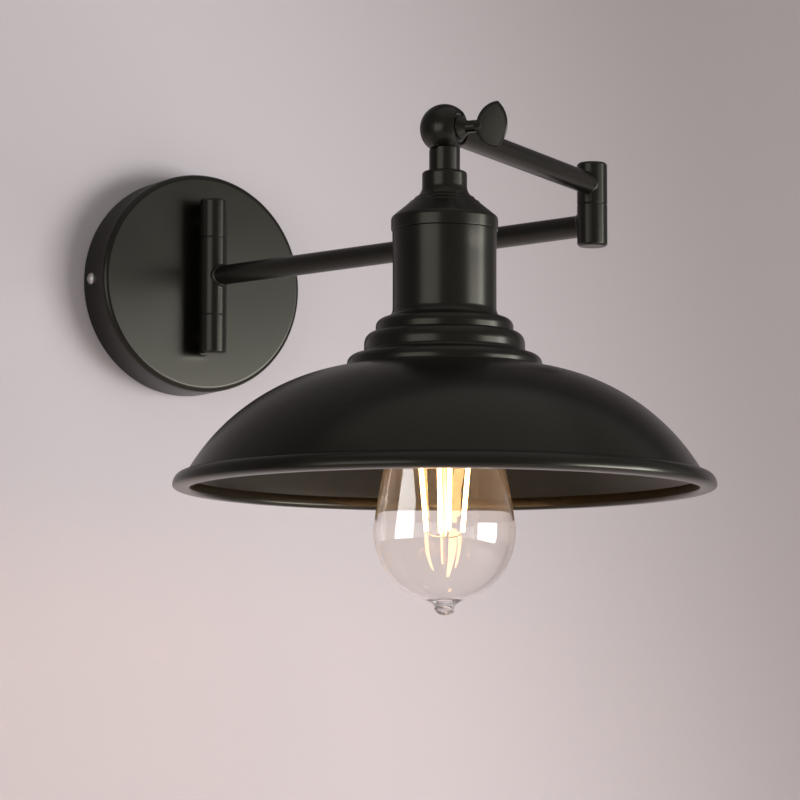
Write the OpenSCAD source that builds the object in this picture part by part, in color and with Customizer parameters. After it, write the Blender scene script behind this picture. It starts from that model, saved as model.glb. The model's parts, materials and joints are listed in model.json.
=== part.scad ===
// Swing arm wall lamp: a round canopy, a two-part arm with a wall pivot and an
// elbow, a split ball joint with a thumb screw, and a domed shade with a bulb.
// +X runs right along the wall, +Y into the wall, +Z up. The origin lies on
// the wall plane, at the centre of the canopy. Millimetres.

/* [Canopy] */
// Outer diameter of the canopy
canopy_d = 120; // [112:1:150]
// Depth of the canopy, from the wall to its face
canopy_h = 26; // [24:1:36]
// Sheet thickness of the canopy
canopy_wall = 1.2; // [0.8:0.1:2]
// Outer radius of the canopy's front edge
canopy_edge_r = 3; // [2.2:0.2:5]

/* [Wall bracket] */
// Height of the crossbar, along Z
bracket_w = 20; // [18:1:24]
// Thickness of the crossbar
bracket_t = 2; // [1.5:0.5:3]
// Distance between the centres of the two wall screw slots
slot_spacing = 70; // [68:1:76]
// Width of a wall screw slot
slot_w = 5; // [4:0.5:6]
// Length of a wall screw slot, end to end
slot_l = 15; // [10:1:16]
// Diameter of the hole for the supply cable
cable_hole_d = 12; // [8:1:14]
// Thread diameter of the screws in the canopy's side
side_screw_d = 4; // [3:0.5:5]
// Head diameter of the screws in the canopy's side
side_head_d = 6.5; // [6:0.5:9]
// Distance from the wall to the side screws
side_screw_y = 10; // [8:0.5:12]
// Diameter of the earth screw
earth_screw_d = 4; // [3:0.5:5]
// Length of the terminal block, along X
terminal_l = 17; // [16:0.5:18]
// Height of the terminal block, along Z
terminal_w = 15; // [13:0.5:17]
// Depth of the terminal block, away from the wall
terminal_h = 12; // [10:0.5:13]

/* [Wall pivot] */
// Distance from the canopy's face to the pivot's axis
pivot_gap = 11.5; // [10:0.5:20]
// Diameter of the knuckles and sleeves
pivot_d = 15; // [14:0.5:18]
// Height of each fixed knuckle
knuckle_h = 21; // [18:0.5:26]
// Height of the turning sleeve between the knuckles
sleeve_h = 42; // [34:1:50]
// Diameter of the hollow pivot pins
pin_d = 8; // [7:0.5:9]
// Bore of the hollow pivot pins and of the threaded nipples
pin_bore_d = 5.2; // [4.6:0.2:6]
// Diameter of the posts between the canopy and the knuckles
post_d = 10; // [9.5:0.5:12]
// Diameter of the threaded nipple inside each post
post_nipple_d = 8; // [7:0.5:8.5]
// Chamfer on the ends of the knuckles
end_chamfer = 1; // [0.5:0.25:1.5]
// Height of the lower arm above the canopy's centre
arm_1_z = 2; // [-5:1:10]

/* [Arms] */
// Outer diameter of the arm tubes
tube_d = 11; // [9:0.5:12]
// Wall thickness of the arm tubes
tube_wall = 1; // [0.8:0.1:1.5]
// Length of the lower arm, from axis to axis
arm_1_l = 270; // [230:5:320]
// Length of the upper arm, from the elbow's axis to the ball's centre
arm_2_l = 170; // [160:5:220]
// Height of the upper arm above the lower arm
arm_spacing = 20; // [18:0.5:24]
// Height of each elbow knuckle
elbow_knuckle_h = 20.6; // [19.5:0.1:24]
// Direction of the lower arm in plan, from +X
arm_1_angle = -73; // [-170:1:-10]
// Turn of the upper arm from the line of the lower arm
arm_2_turn = -73; // [-140:1:140]

/* [Ball joint] */
// Diameter of the split ball
ball_d = 22.5; // [21:0.5:26]
// Diameter of the round recess under the thumb screw
recess_d = 15.2; // [14:0.2:16]
// Distance from the ball's centre to the recess floor
recess_y = 6.6; // [6.2:0.1:7]
// Thread diameter of the thumb screw
clamp_screw_d = 5; // [4:0.5:5.5]
// Diameter of the thumb screw's neck
clamp_neck_d = 5.7; // [5.5:0.1:6.5]
// Diameter of the thumb screw's conical collar
clamp_collar_d = 11.5; // [9:0.5:12.5]
// Distance from the ball's centre to the wing's inner edge
wing_start = 15.8; // [15:0.2:20]
// Height of the wing, from tip to tip
wing_h = 21.6; // [18:0.4:28]
// Length of the wing along the screw
wing_l = 15.5; // [13.5:0.5:18]
// Thickness of the wing
wing_t = 2.2; // [1.6:0.2:3]

/* [Lampholder housing] */
// Diameter of the stem under the ball
stem_d = 14; // [13.5:0.5:15]
// Distance from the ball's centre to the bottom of the stem
stem_drop = 19.7; // [17:0.1:24]
// Outer diameter of the threaded nipple that holds the head together
nipple_d = 10; // [9.5:0.1:10.5]
// Diameter of the cap's collar
collar_d = 20.4; // [19:0.2:24]
// Height of the cap's collar
collar_h = 6.8; // [5:0.2:9]
// Diameter of the cap's shoulder band
shoulder_d = 48.4; // [47:0.2:54]
// Slope of the cap below its collar
cap_slope = 39.5; // [34:0.5:46]
// Height of the band below the cap's shoulder
cap_band_h = 4.8; // [2:0.1:6]
// Diameter of the cup under the cap
cup_d = 46.4; // [46:0.2:46.8]
// Height of the cup
cup_h = 39.9; // [38:0.1:44]
// Diameter of the cup's flared foot
cup_foot_d = 53.6; // [51:0.2:56]
// Sheet thickness of the cap and the cup
housing_wall = 1; // [0.8:0.1:1.2]

/* [Shade] */
// Outer diameter of the shade's rolled lip
shade_d = 244; // [200:2:300]
// Sheet thickness of the shade
shade_wall = 1; // [0.8:0.1:1.4]
// Outer radius of the upper neck step
neck_1_r = 31.1; // [30.5:0.1:32]
// Outer radius of the middle neck step
neck_2_r = 36.3; // [35.8:0.1:38]
// Outer radius of the lower neck step
neck_3_r = 44; // [43:0.2:50]
// Height of the upper neck step
neck_1_h = 6.5; // [5.5:0.1:7]
// Height of the middle neck step
neck_2_h = 9.8; // [9:0.1:12]
// Height of the lower neck step
neck_3_h = 6.4; // [6:0.1:9]
// Slope of the dome where it leaves the neck
dome_top_slope = 7.8; // [2:0.2:14]
// Slope of the dome where it meets the lip
dome_edge_slope = 59.8; // [50:0.2:70]
// Radial width of the rolled lip
lip_w = 6.6; // [5:0.2:9]
// Height of the rolled lip
lip_h = 7.6; // [7.4:0.2:12]

/* [Lampholder and bulb] */
// Outer diameter of the lampholder's threaded skirt
skirt_d = 39; // [37:0.5:40]
// Height of the lampholder
lampholder_h = 56; // [54:0.5:60]
// Outer diameter of the shade ring
ring_d = 50; // [46:0.5:54]
// Height of the shade ring
ring_h = 7; // [5:0.5:9]
// Thread diameter of the bulb's cap
bulb_cap_d = 26.2; // [25.6:0.1:26.4]
// Height of the bulb's cap
bulb_cap_h = 23.6; // [22:0.2:25]
// Largest diameter of the bulb's glass
glass_d = 64; // [56:1:80]
// Length of the bulb, from its contact to its tip
bulb_l = 142; // [136:0.1:165]
// Wall thickness of the bulb's glass
glass_wall = 0.8; // [0.6:0.1:1]
// Length of each filament stick
filament_l = 37; // [30:1:40]
// Diameter of each filament stick
filament_d = 2; // [1.5:0.1:2.4]

/* [Hidden] */

$fn = 72;
black = "#26241f";
dark_steel = "#6b6d70";
zinc = "#b9bcc0";
brass = "#b5935a";
phenolic = "#1d1c1b";
white_plastic = "#e8e6df";
black_nylon = "#232323";

// Clearances: a fixed fit, a brazed seat, a running fit on a radius, end play
fixed_fit = 0.02;
seat_gap = 0.05;
run_fit = 0.05;
end_play = 0.05;
// Clearance round the thumb screw's shaft
shaft_fit = 0.08;
// Space between pieces of two bodies that pass each other
pass_gap = 0.5;
cut = 1;

// Canopy and bracket
canopy_r = canopy_d / 2;
canopy_in_r = canopy_r - canopy_wall;
tab_x = sqrt(pow(canopy_in_r, 2) - pow(bracket_w / 2, 2)) - 0.3;
tab_h = side_screw_y + side_screw_d / 2 + 3;
side_head_h = side_head_d * 0.34;
slot_end_x = slot_spacing / 2 - slot_l / 2;
earth_x = -(cable_hole_d / 2 + slot_end_x) / 2;
terminal_x = (cable_hole_d / 2 + slot_end_x) / 2;
pole_x = terminal_l / 4;
pole_r = 2.7;
sleeve_wall = 1;
pole_z = bracket_t + pole_r + 1.6;
terminal_screw_r = 1.3;
lead_r = 0.9;
pair_x = lead_r + 0.1;

// Wall pivot
pivot_y = canopy_h + pivot_gap;
pin_r = pin_d / 2;
pin_bore_r = pin_bore_d / 2;
pivot_r = pivot_d / 2;
washer_t = 0.4;
seam = washer_t + 2 * end_play;
knuckle_z = sleeve_h / 2 + seam;
post_offset = knuckle_z + knuckle_h / 2;
pin_depth = knuckle_h - 5;
nipple_r = post_nipple_d / 2;
nipple_end = pivot_y - pin_r - 1;
post_nut_flats = post_nipple_d + 5;
post_nut_h = 3.5;
post_washer_r = post_nipple_d / 2 + 4;
post_washer_t = 1;
nipple_start = canopy_h - canopy_wall - post_washer_t - post_nut_h - 2.5;
window_h = 6;
lead_hole_r = 2.4;

// Arms
tube_r = tube_d / 2;
tube_bore_r = tube_r - tube_wall;
elbow_seam_z = arm_spacing / 2;
elbow_floor = 3;
clip_t = 0.8;
clip_room = 3.2;
plug_t = 2;
plug_r = pivot_r - 1.6;
elbow_pin_low = elbow_seam_z - seam / 2 - elbow_knuckle_h + elbow_floor;
knuckle_top = elbow_seam_z + seam / 2 + elbow_knuckle_h;
chamber_z = knuckle_top - plug_t - clip_room;
elbow_pin_top = chamber_z + clip_t + 1.2;
rib_w = 3.4;

// Ball joint
ball_r = ball_d / 2;
split_gap = 0.2;
groove_in_r = clamp_screw_d / 2 + 1.3;
groove_out_r = 8;
groove_depth = 3.6;
channel_r = 1.7;
channel_y = 3.2;
clamp_hole_depth = ball_r - 3;
clamp_washer_t = 0.8;
collar_h_screw = 4;
collar_start = recess_y + clamp_washer_t + 0.1;

// Housing: heights are measured from the ball's centre
stem_r = stem_d / 2;
nipple_out_r = nipple_d / 2;
nipple_in_r = nipple_out_r - 1.5;
nipple_engage = 8;
cap_top = -stem_drop;
collar_r = collar_d / 2;
collar_edge = 1.5;
collar_low = cap_top - collar_h;
shoulder_r = shoulder_d / 2;
flare_r = 6;
shoulder_round = 2.5;
cone_start = [collar_r + flare_r * (1 - sin(cap_slope)), collar_low - flare_r * cos(cap_slope)];
cone_end_r = shoulder_r - shoulder_round * (1 - sin(cap_slope));
cone_end_z = cone_start[1] - tan(cap_slope) * (cone_end_r - cone_start[0]);
shoulder_z = cone_end_z - shoulder_round * cos(cap_slope);
cap_low = shoulder_z - cap_band_h;
groove = 0.35;
cup_top = cap_low;
cup_r = cup_d / 2;
cup_band_h = 1.6;
cup_taper_h = 3;
cup_low = cup_top - cup_h;
foot_r = cup_foot_d / 2;
foot_t = 0.5;
foot_flare_h = 4;
stem_nut_flats = nipple_d + 4;
stem_nut_h = 3;

// Lampholder
skirt_r = skirt_d / 2;
flange_r = cup_r - housing_wall - 0.4;
flange_t = 2;
skirt_below = 20.6;
holder_low = cup_low - skirt_below;
holder_top = holder_low + lampholder_h;
holder_wall = 2;
shell_r = bulb_cap_d / 2 + 0.2;
shell_t = 0.5;
socket_r = shell_r + shell_t + 0.1;
contact_z = holder_low + 29;
floor_z = contact_z + 1.5;
floor_t = 3;
chamber_r = 12.5;
nipple_low = holder_top - holder_wall - 3;
terminal_size = [5, 7, 7];
terminal_off = 6.4;
terminal_z = floor_z + floor_t;
lead_grip = 4;
lead_off = 1;

// Shade
lip_r = shade_d / 2;
shade_top = cup_low;
shade_hole_r = skirt_r + 0.3;
neck_1_z = shade_top - neck_1_h;
neck_2_z = neck_1_z - neck_2_h;
neck_3_z = neck_2_z - neck_3_h;
shoulder_1 = [neck_1_r - foot_r, 4.1];
shoulder_2 = [neck_2_r - neck_1_r - 0.6, 5.4];
neck_flare = 2.2;
shoulder_3 = [neck_3_r - neck_2_r - neck_flare, 4.4];
dome_start_r = neck_3_r + 0.9;
dome_end_r = lip_r - lip_w;
dome_r = (dome_end_r - dome_start_r) / (sin(dome_edge_slope) - sin(dome_top_slope));
dome_c = [dome_start_r - dome_r * sin(dome_top_slope), neck_3_z - dome_r * cos(dome_top_slope)];
dome_end_z = dome_c[1] + dome_r * cos(dome_edge_slope);
lip_bead = 4.8;
lip_top_h = 5.6;
lip_low_h = lip_h - lip_top_h;
lip_c = [lip_r - lip_bead, dome_end_z - 0.6 - lip_top_h];
lip_fold = 3.6;

// Bulb
cap_r = bulb_cap_d / 2;
cap_sheet = 0.3;
thread_pitch = 3.5;
thread_depth = 0.9;
bulb_top = contact_z - 0.1;
tip_h = 1.0;
insulator_h = 2.3;
cap_top_z = bulb_top - tip_h - insulator_h;
cap_low_z = cap_top_z - bulb_cap_h;
glass_r = glass_d / 2;
glass_low = bulb_top - bulb_l;
exhaust_h = 5.5;
glass_c = glass_low + exhaust_h + glass_r;
glass_neck_r = cap_r - thread_depth - cap_sheet - 0.15;
glass_throat_r = cap_r + 1;
throat_round = 1.5;
throat_z = cap_low_z - 0.1 - throat_round;
taper_angle = 10.7;
exhaust_r = 3;
// The lampholder's wider mouth, where the bulb's glass begins
mouth_r = glass_throat_r + 0.7;
mouth_z = cap_low_z + 0.2;
stick_tilt = 5;
stick_low_r = 8.3;
stick_low_z = glass_c;
stick_top_r = stick_low_r + filament_l * sin(stick_tilt);
stick_top_z = stick_low_z + filament_l * cos(stick_tilt);
filament_turn = 38;
mount_r = 2.6;
wire_r = 0.3;

// Points along an arc of an ellipse with centre c and half axes r
function arc(c, r, a0, a1, n) =
    [for (i = [0:n]) let (a = a0 + (a1 - a0) * i / n) [c[0] + r[0] * cos(a), c[1] + r[1] * sin(a)]];
function reverse(p) = [for (i = [len(p) - 1:-1:0]) p[i]];
function unit(v) = v / norm(v);
function tangent(p, i) = unit(p[min(i + 1, len(p) - 1)] - p[max(i - 1, 0)]);
function carried(n, t) = unit(n - t * (n * t));
function any_side(t) = abs(t[2]) < 0.8 ? unit(cross(t, [0, 0, 1])) : unit(cross(t, [1, 0, 0]));
// A side vector at every point of a path, carried along without twist
function sides_of(p, i, n, out) =
    i == len(p) ? out :
    let (t = tangent(p, i), m = i == 0 ? any_side(t) : carried(n, t))
    sides_of(p, i + 1, m, concat(out, [m]));

// Points of a smooth bend from a to d, leaving toward b and arriving from c
function bend(a, b, c, d, n = 10) = [
    for (i = [0:n])
        let (t = i / n, u = 1 - t)
        u * u * u * a + 3 * u * u * t * b + 3 * u * t * t * c + t * t * t * d
];
// How far below a bore's axis a pair of leads lies
function lead_drop(bore_r) = sqrt(pow(bore_r - lead_r - seat_gap, 2) - pow(pair_x, 2));

// A round wire along a path
module wire(path, r, sides = 8) {
    n = len(path);
    s = sides_of(path, 0, [0, 0, 1], []);
    points = [
        for (i = [0:n - 1])
            let (b = cross(tangent(path, i), s[i]))
            for (k = [0:sides - 1])
                path[i] + r * (cos(k * 360 / sides) * s[i] + sin(k * 360 / sides) * b)
    ];
    walls = [
        for (i = [0:n - 2])
            for (k = [0:sides - 1])
                let (a = i * sides + k, b = i * sides + (k + 1) % sides)
                [a, a + sides, b + sides, b]
    ];
    low_end = [for (k = [0:sides - 1]) k];
    high_end = [for (k = [sides - 1:-1:0]) (n - 1) * sides + k];
    polyhedron(points, concat(walls, [low_end, high_end]));
}

// Local +Z points away from the wall, local +Y points up
module on_wall() { rotate([90, 0, 0]) children(); }
// The lower arm's frame: its origin on the pivot's axis, +X along the arm
module at_arm_1() { translate([0, -pivot_y, arm_1_z]) rotate([0, 0, arm_1_angle]) children(); }
// The upper arm's frame: its origin on the elbow's axis, +X along the arm
module at_arm_2() {
    at_arm_1() translate([arm_1_l, 0, arm_spacing]) rotate([0, 0, arm_2_turn]) children();
}
// The head's frame: its origin at the ball's centre, +Y along the thumb screw
module at_ball() { at_arm_2() translate([arm_2_l, 0, 0]) children(); }
module along_x() { rotate([0, 90, 0]) children(); }
module along_y() { rotate([-90, 0, 0]) children(); }

module tube(r_out, r_in, h) {
    difference() {
        cylinder(r = r_out, h = h);
        translate([0, 0, -cut]) cylinder(r = r_in, h = h + 2 * cut);
    }
}

// A post with one chamfered end, at the top
module knuckle_blank(h) {
    rotate_extrude() polygon([
        [0, 0], [pivot_r, 0], [pivot_r, h - end_chamfer], [pivot_r - end_chamfer, h], [0, h]
    ]);
}

// A domed screw with a cross recess: its head stands on z = 0
module domed_screw(d, l, head_d, head_h) {
    recess_w = head_d * 0.13;
    recess_l = head_d * 0.5;
    difference() {
        union() {
            translate([0, 0, -l]) cylinder(r = d / 2, h = l);
            rotate_extrude() polygon(concat([[0, 0]], arc([0, 0], [head_d / 2, head_h], 0, 90, 8)));
        }
        for (a = [0, 90])
            rotate([0, 0, a]) translate([-recess_l / 2, -recess_w / 2, head_h * 0.45])
                cube([recess_l, recess_w, head_h]);
    }
}

module hex_nut(flats, bore_r, h) {
    difference() {
        cylinder(r = flats / sqrt(3), h = h, $fn = 6);
        translate([0, 0, -cut]) cylinder(r = bore_r, h = h + 2 * cut);
    }
}

// The wall side

module canopy_cover() {
    outline = concat(
        [[0, canopy_h]],
        arc([canopy_r - canopy_edge_r, canopy_h - canopy_edge_r], canopy_edge_r * [1, 1], 90, 0, 8),
        [[canopy_r, 0], [canopy_in_r, 0]],
        arc([canopy_r - canopy_edge_r, canopy_h - canopy_edge_r],
            (canopy_edge_r - canopy_wall) * [1, 1], 0, 90, 8),
        [[0, canopy_h - canopy_wall]]
    );
    color(black) on_wall() difference() {
        rotate_extrude() polygon(outline);
        for (s = [-1, 1]) {
            translate([0, arm_1_z + s * post_offset, canopy_h - canopy_wall - cut])
                cylinder(r = nipple_r + fixed_fit, h = canopy_wall + 2 * cut);
            translate([s * (canopy_in_r - cut), 0, side_screw_y]) rotate([0, s * 90, 0])
                cylinder(r = side_screw_d / 2 + 0.25, h = canopy_wall + 2 * cut);
        }
    }
}

module slot_hole() {
    straight = slot_l - slot_w;
    translate([-straight / 2, -slot_w / 2, -cut]) cube([straight, slot_w, bracket_t + 2 * cut]);
    for (s = [-1, 1])
        translate([s * straight / 2, 0, -cut]) cylinder(r = slot_w / 2, h = bracket_t + 2 * cut);
}

module wall_bracket() {
    color(zinc) on_wall() difference() {
        union() {
            translate([-tab_x, -bracket_w / 2, 0]) cube([2 * tab_x, bracket_w, bracket_t]);
            for (s = [-1, 1])
                translate([s * (tab_x - bracket_t / 2) - bracket_t / 2, -bracket_w / 2, 0])
                    cube([bracket_t, bracket_w, tab_h]);
        }
        translate([0, 0, -cut]) cylinder(r = cable_hole_d / 2, h = bracket_t + 2 * cut);
        for (s = [-1, 1]) {
            translate([s * slot_spacing / 2, 0, 0]) slot_hole();
            translate([s * (tab_x - bracket_t - cut), 0, side_screw_y]) rotate([0, s * 90, 0])
                cylinder(r = side_screw_d / 2 + fixed_fit, h = bracket_t + 2 * cut);
        }
        translate([earth_x, 0, -cut])
            cylinder(r = earth_screw_d / 2 + fixed_fit, h = bracket_t + 2 * cut);
    }
}

module canopy_side_screws() {
    length = canopy_r - tab_x + bracket_t + 1;
    color(zinc) on_wall() for (s = [-1, 1])
        translate([s * (canopy_r + seat_gap), 0, side_screw_y]) rotate([0, s * 90, 0])
            domed_screw(side_screw_d, length, side_head_d, side_head_h);
}

module earth_screw() {
    color(brass) on_wall() translate([earth_x, 0, bracket_t])
        domed_screw(earth_screw_d, bracket_t - 0.1, earth_screw_d * 1.9, earth_screw_d * 0.6);
}

module terminal_block() {
    color(white_plastic) on_wall() translate([terminal_x, 0, 0]) difference() {
        translate([-terminal_l / 2, -terminal_w / 2, bracket_t])
            cube([terminal_l, terminal_w, terminal_h]);
        for (s = [-1, 1]) {
            translate([s * pole_x, -terminal_w / 2 - cut, pole_z]) along_y()
                cylinder(r = pole_r, h = terminal_w + 2 * cut);
            for (t = [-1, 1])
                translate([s * pole_x, t * terminal_w / 4, pole_z])
                    cylinder(r = terminal_screw_r + 0.4, h = terminal_h);
        }
    }
}

module terminal_sleeves() {
    sleeve_r = pole_r - fixed_fit;
    color(brass) on_wall() for (s = [-1, 1])
        translate([terminal_x + s * pole_x, 0, pole_z]) difference() {
            translate([0, -terminal_w / 2 + 1, 0]) along_y()
                tube(sleeve_r, sleeve_r - sleeve_wall, terminal_w - 2);
            for (t = [-1, 1])
                translate([0, t * terminal_w / 4, 0])
                    cylinder(r = terminal_screw_r + fixed_fit, h = pole_r + cut);
        }
}

module terminal_screws() {
    tip_z = pole_z + 0.2;
    color(zinc) on_wall() for (s = [-1, 1], t = [-1, 1])
        translate([terminal_x + s * pole_x, t * terminal_w / 4, tip_z]) difference() {
            cylinder(r = terminal_screw_r, h = bracket_t + terminal_h - tip_z - 1.5);
            translate([-0.3, -terminal_screw_r - cut, bracket_t + terminal_h - tip_z - 2.3])
                cube([0.6, 2 * (terminal_screw_r + cut), 2]);
        }
}

// A short collar between the canopy and a knuckle, coped to the knuckle
module post(s) {
    color(black) on_wall() translate([0, arm_1_z + s * post_offset, canopy_h]) difference() {
        cylinder(r = post_d / 2, h = pivot_y - canopy_h);
        translate([0, 0, -cut]) cylinder(r = nipple_r + fixed_fit, h = pivot_y);
        translate([0, 0, pivot_y - canopy_h]) rotate([90, 0, 0])
            cylinder(r = pivot_r + seat_gap, h = 2 * post_d, center = true);
    }
}
module upper_post() { post(1); }
module lower_post() { post(-1); }

module post_nipples() {
    color(dark_steel) on_wall() for (s = [-1, 1])
        translate([0, arm_1_z + s * post_offset, nipple_start])
            tube(nipple_r, pin_bore_r, nipple_end - nipple_start);
}

module post_washers() {
    color(zinc) on_wall() for (s = [-1, 1])
        translate([0, arm_1_z + s * post_offset, canopy_h - canopy_wall - post_washer_t])
            tube(post_washer_r, nipple_r + fixed_fit, post_washer_t);
}

module post_nuts() {
    nut_z = canopy_h - canopy_wall - post_washer_t - post_nut_h;
    color(zinc) on_wall() for (s = [-1, 1])
        translate([0, arm_1_z + s * post_offset, nut_z])
            hex_nut(post_nut_flats, nipple_r + fixed_fit, post_nut_h);
}

// A fixed knuckle: blind bore for the pin, cross bore for the post's nipple
module fixed_knuckle(s) {
    color(black) translate([0, -pivot_y, arm_1_z]) mirror([0, 0, s > 0 ? 0 : 1])
        translate([0, 0, knuckle_z]) difference() {
            knuckle_blank(knuckle_h);
            translate([0, 0, -cut]) cylinder(r = pin_r + fixed_fit, h = pin_depth + cut);
            translate([0, 0, knuckle_h / 2]) along_y()
                cylinder(r = nipple_r + fixed_fit, h = pivot_r + cut);
        }
}
module upper_knuckle() { fixed_knuckle(1); }
module lower_knuckle() { fixed_knuckle(-1); }

module wall_pivot_pin() {
    half = knuckle_z + pin_depth - 0.2;
    color(dark_steel) translate([0, -pivot_y, arm_1_z]) difference() {
        translate([0, 0, -half]) tube(pin_r, pin_bore_r, 2 * half);
        translate([-pin_d, -pin_d, -window_h / 2]) cube([2 * pin_d, pin_d, window_h]);
        translate([0, 0, -post_offset]) along_y() cylinder(r = lead_hole_r, h = pin_d);
    }
}

module pivot_washers() {
    color(black_nylon) translate([0, -pivot_y, arm_1_z]) for (s = [-1, 1])
        translate([0, 0, s * (knuckle_z - washer_t / 2) - washer_t / 2])
            tube(pivot_r - 0.3, pin_r + fixed_fit, washer_t);
}

// Leads from the terminal block through the lower post to the pivot pin
module canopy_leads() {
    low_z = arm_1_z - post_offset - lead_drop(pin_bore_r);
    block_z = pole_z + lead_r + fixed_fit + sleeve_wall - pole_r + 0.02;
    block_y = -terminal_w / 2;
    color(phenolic) on_wall() for (s = [-1, 1]) {
        x = terminal_x + s * pole_x;
        wire(concat(
            [[x, block_y / 2 + 1.5, block_z]],
            bend([x, block_y - 1, block_z], [x, block_y - 20, block_z],
                [s * pair_x, low_z, nipple_start - 14], [s * pair_x, low_z, nipple_start - 1]),
            [[s * pair_x, low_z, nipple_end]]
        ), lead_r);
    }
}

// The lower arm

module arm_1_sleeve() {
    color(black) at_arm_1() difference() {
        translate([0, 0, -sleeve_h / 2]) cylinder(r = pivot_r, h = sleeve_h);
        translate([0, 0, -sleeve_h / 2 - cut]) cylinder(r = pin_r + run_fit, h = sleeve_h + 2 * cut);
        along_x() cylinder(r = lead_hole_r, h = pivot_r + cut);
    }
}

module arm_1_tube() {
    color(black) at_arm_1() difference() {
        along_x() tube(tube_r, tube_bore_r, arm_1_l);
        for (x = [0, arm_1_l])
            translate([x, 0, 0]) cylinder(r = pivot_r + seat_gap, h = 2 * tube_d, center = true);
    }
}

module elbow_lower_knuckle() {
    color(black) at_arm_1() translate([arm_1_l, 0, elbow_seam_z - seam / 2]) mirror([0, 0, 1])
        difference() {
            knuckle_blank(elbow_knuckle_h);
            translate([0, 0, -cut])
                cylinder(r = pin_r + fixed_fit, h = elbow_knuckle_h - elbow_floor + cut);
            translate([0, 0, elbow_seam_z - seam / 2]) mirror([1, 0, 0]) along_x()
                cylinder(r = lead_hole_r, h = pivot_r + cut);
        }
}

module elbow_pin() {
    low = elbow_pin_low + 0.1;
    color(dark_steel) at_arm_1() translate([arm_1_l, 0, 0]) difference() {
        translate([0, 0, low]) tube(pin_r, pin_bore_r, elbow_pin_top - low);
        mirror([1, 0, 0]) along_x() cylinder(r = lead_hole_r, h = pin_d);
        difference() {
            translate([0, 0, arm_spacing - window_h / 2]) cylinder(r = pin_d, h = window_h);
            translate([-2 * pin_d, -rib_w / 2, 0]) cube([2 * pin_d, rib_w, 2 * arm_spacing]);
        }
        translate([0, 0, chamber_z + 0.1]) tube(pin_d, pin_r - 0.6, clip_t + 0.1);
    }
}

module elbow_clip() {
    color(zinc) at_arm_1() translate([arm_1_l, 0, chamber_z + 0.15]) difference() {
        cylinder(r = plug_r - 0.5, h = clip_t);
        translate([0, 0, -cut]) cylinder(r = pin_r - 0.6 + fixed_fit, h = clip_t + 2 * cut);
        translate([0, -pin_r * 0.6, -cut]) cube([pin_d, pin_r * 1.2, clip_t + 2 * cut]);
    }
}

module elbow_washer() {
    color(black_nylon) at_arm_1() translate([arm_1_l, 0, elbow_seam_z - seam / 2])
        tube(pivot_r - 0.3, pin_r + fixed_fit, washer_t);
}

// A pair of leads that lie on the floor of an arm's tube
module leads_in_tube(start, end) {
    color(phenolic) for (s = [-1, 1])
        translate([start, s * pair_x, -lead_drop(tube_bore_r)]) along_x()
            cylinder(r = lead_r, h = end - start);
}
module arm_1_leads() {
    at_arm_1() leads_in_tube(pivot_r + 2, arm_1_l - pivot_r - 2);
}

// The upper arm

module elbow_upper_knuckle() {
    low = seam / 2 - elbow_seam_z;
    color(black) at_arm_2() translate([0, 0, low]) difference() {
        knuckle_blank(elbow_knuckle_h);
        translate([0, 0, -cut]) cylinder(r = pin_r + run_fit, h = elbow_knuckle_h + 2 * cut);
        translate([0, 0, elbow_knuckle_h - plug_t - clip_room])
            cylinder(r = plug_r + fixed_fit, h = plug_t + clip_room + cut);
        translate([0, 0, -low]) along_x() cylinder(r = lead_hole_r, h = pivot_r + cut);
    }
}

module elbow_top_plug() {
    top = knuckle_top - arm_spacing;
    color(black) at_arm_2() translate([0, 0, top - plug_t]) cylinder(r = plug_r, h = plug_t);
}

module arm_2_tube() {
    color(black) at_arm_2() difference() {
        along_x() tube(tube_r, tube_bore_r, arm_2_l - ball_r / 2);
        cylinder(r = pivot_r + seat_gap, h = 2 * tube_d, center = true);
        translate([arm_2_l, 0, 0]) {
            sphere(r = ball_r + seat_gap);
            difference() {
                sphere(r = ball_r + pass_gap);
                translate([-ball_d, -2 * ball_d - split_gap, -ball_d]) cube(2 * ball_d);
            }
        }
    }
}

// The ring groove in a ball half, where the leads pass round the screw
module ring_groove() {
    translate([0, 0, -cut]) tube(groove_out_r, groove_in_r, groove_depth + cut);
}

module ball_arm_half() {
    color(black) at_ball() difference() {
        sphere(r = ball_r);
        translate([-ball_d, -split_gap / 2, -ball_d]) cube(2 * ball_d);
        translate([0, -split_gap / 2, 0]) mirror([0, 1, 0]) along_y() {
            ring_groove();
            translate([0, 0, -cut])
                cylinder(r = clamp_screw_d / 2 + fixed_fit, h = clamp_hole_depth + cut);
        }
        translate([-groove_in_r - 1, -channel_y, 0]) mirror([1, 0, 0]) along_x()
            cylinder(r = channel_r, h = ball_r);
    }
}

module arm_2_leads() {
    at_arm_2() leads_in_tube(pivot_r + 2, arm_2_l - ball_r - 2);
}

// The head

module ball_head_half() {
    color(black) at_ball() difference() {
        sphere(r = ball_r);
        translate([-ball_d, split_gap / 2 - 2 * ball_d, -ball_d]) cube(2 * ball_d);
        translate([0, split_gap / 2, 0]) along_y() ring_groove();
        along_y() cylinder(r = clamp_screw_d / 2 + shaft_fit, h = ball_r);
        translate([0, recess_y, 0]) along_y() cylinder(r = recess_d / 2, h = ball_r);
        translate([0, channel_y, -ball_r]) cylinder(r = channel_r, h = ball_r - groove_in_r - 1);
    }
}

module clamp_washer() {
    color(dark_steel) at_ball() translate([0, recess_y, 0]) along_y()
        tube(clamp_collar_d / 2 + 0.8, clamp_screw_d / 2 + shaft_fit, clamp_washer_t);
}

module head_stem() {
    color(black) at_ball() difference() {
        translate([0, 0, cap_top]) tube(stem_r, nipple_out_r + fixed_fit, stem_drop - ball_r / 3);
        sphere(r = ball_r + seat_gap);
        difference() {
            sphere(r = ball_r + pass_gap);
            translate([-ball_d, split_gap, -ball_d]) cube(2 * ball_d);
        }
    }
}

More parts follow.
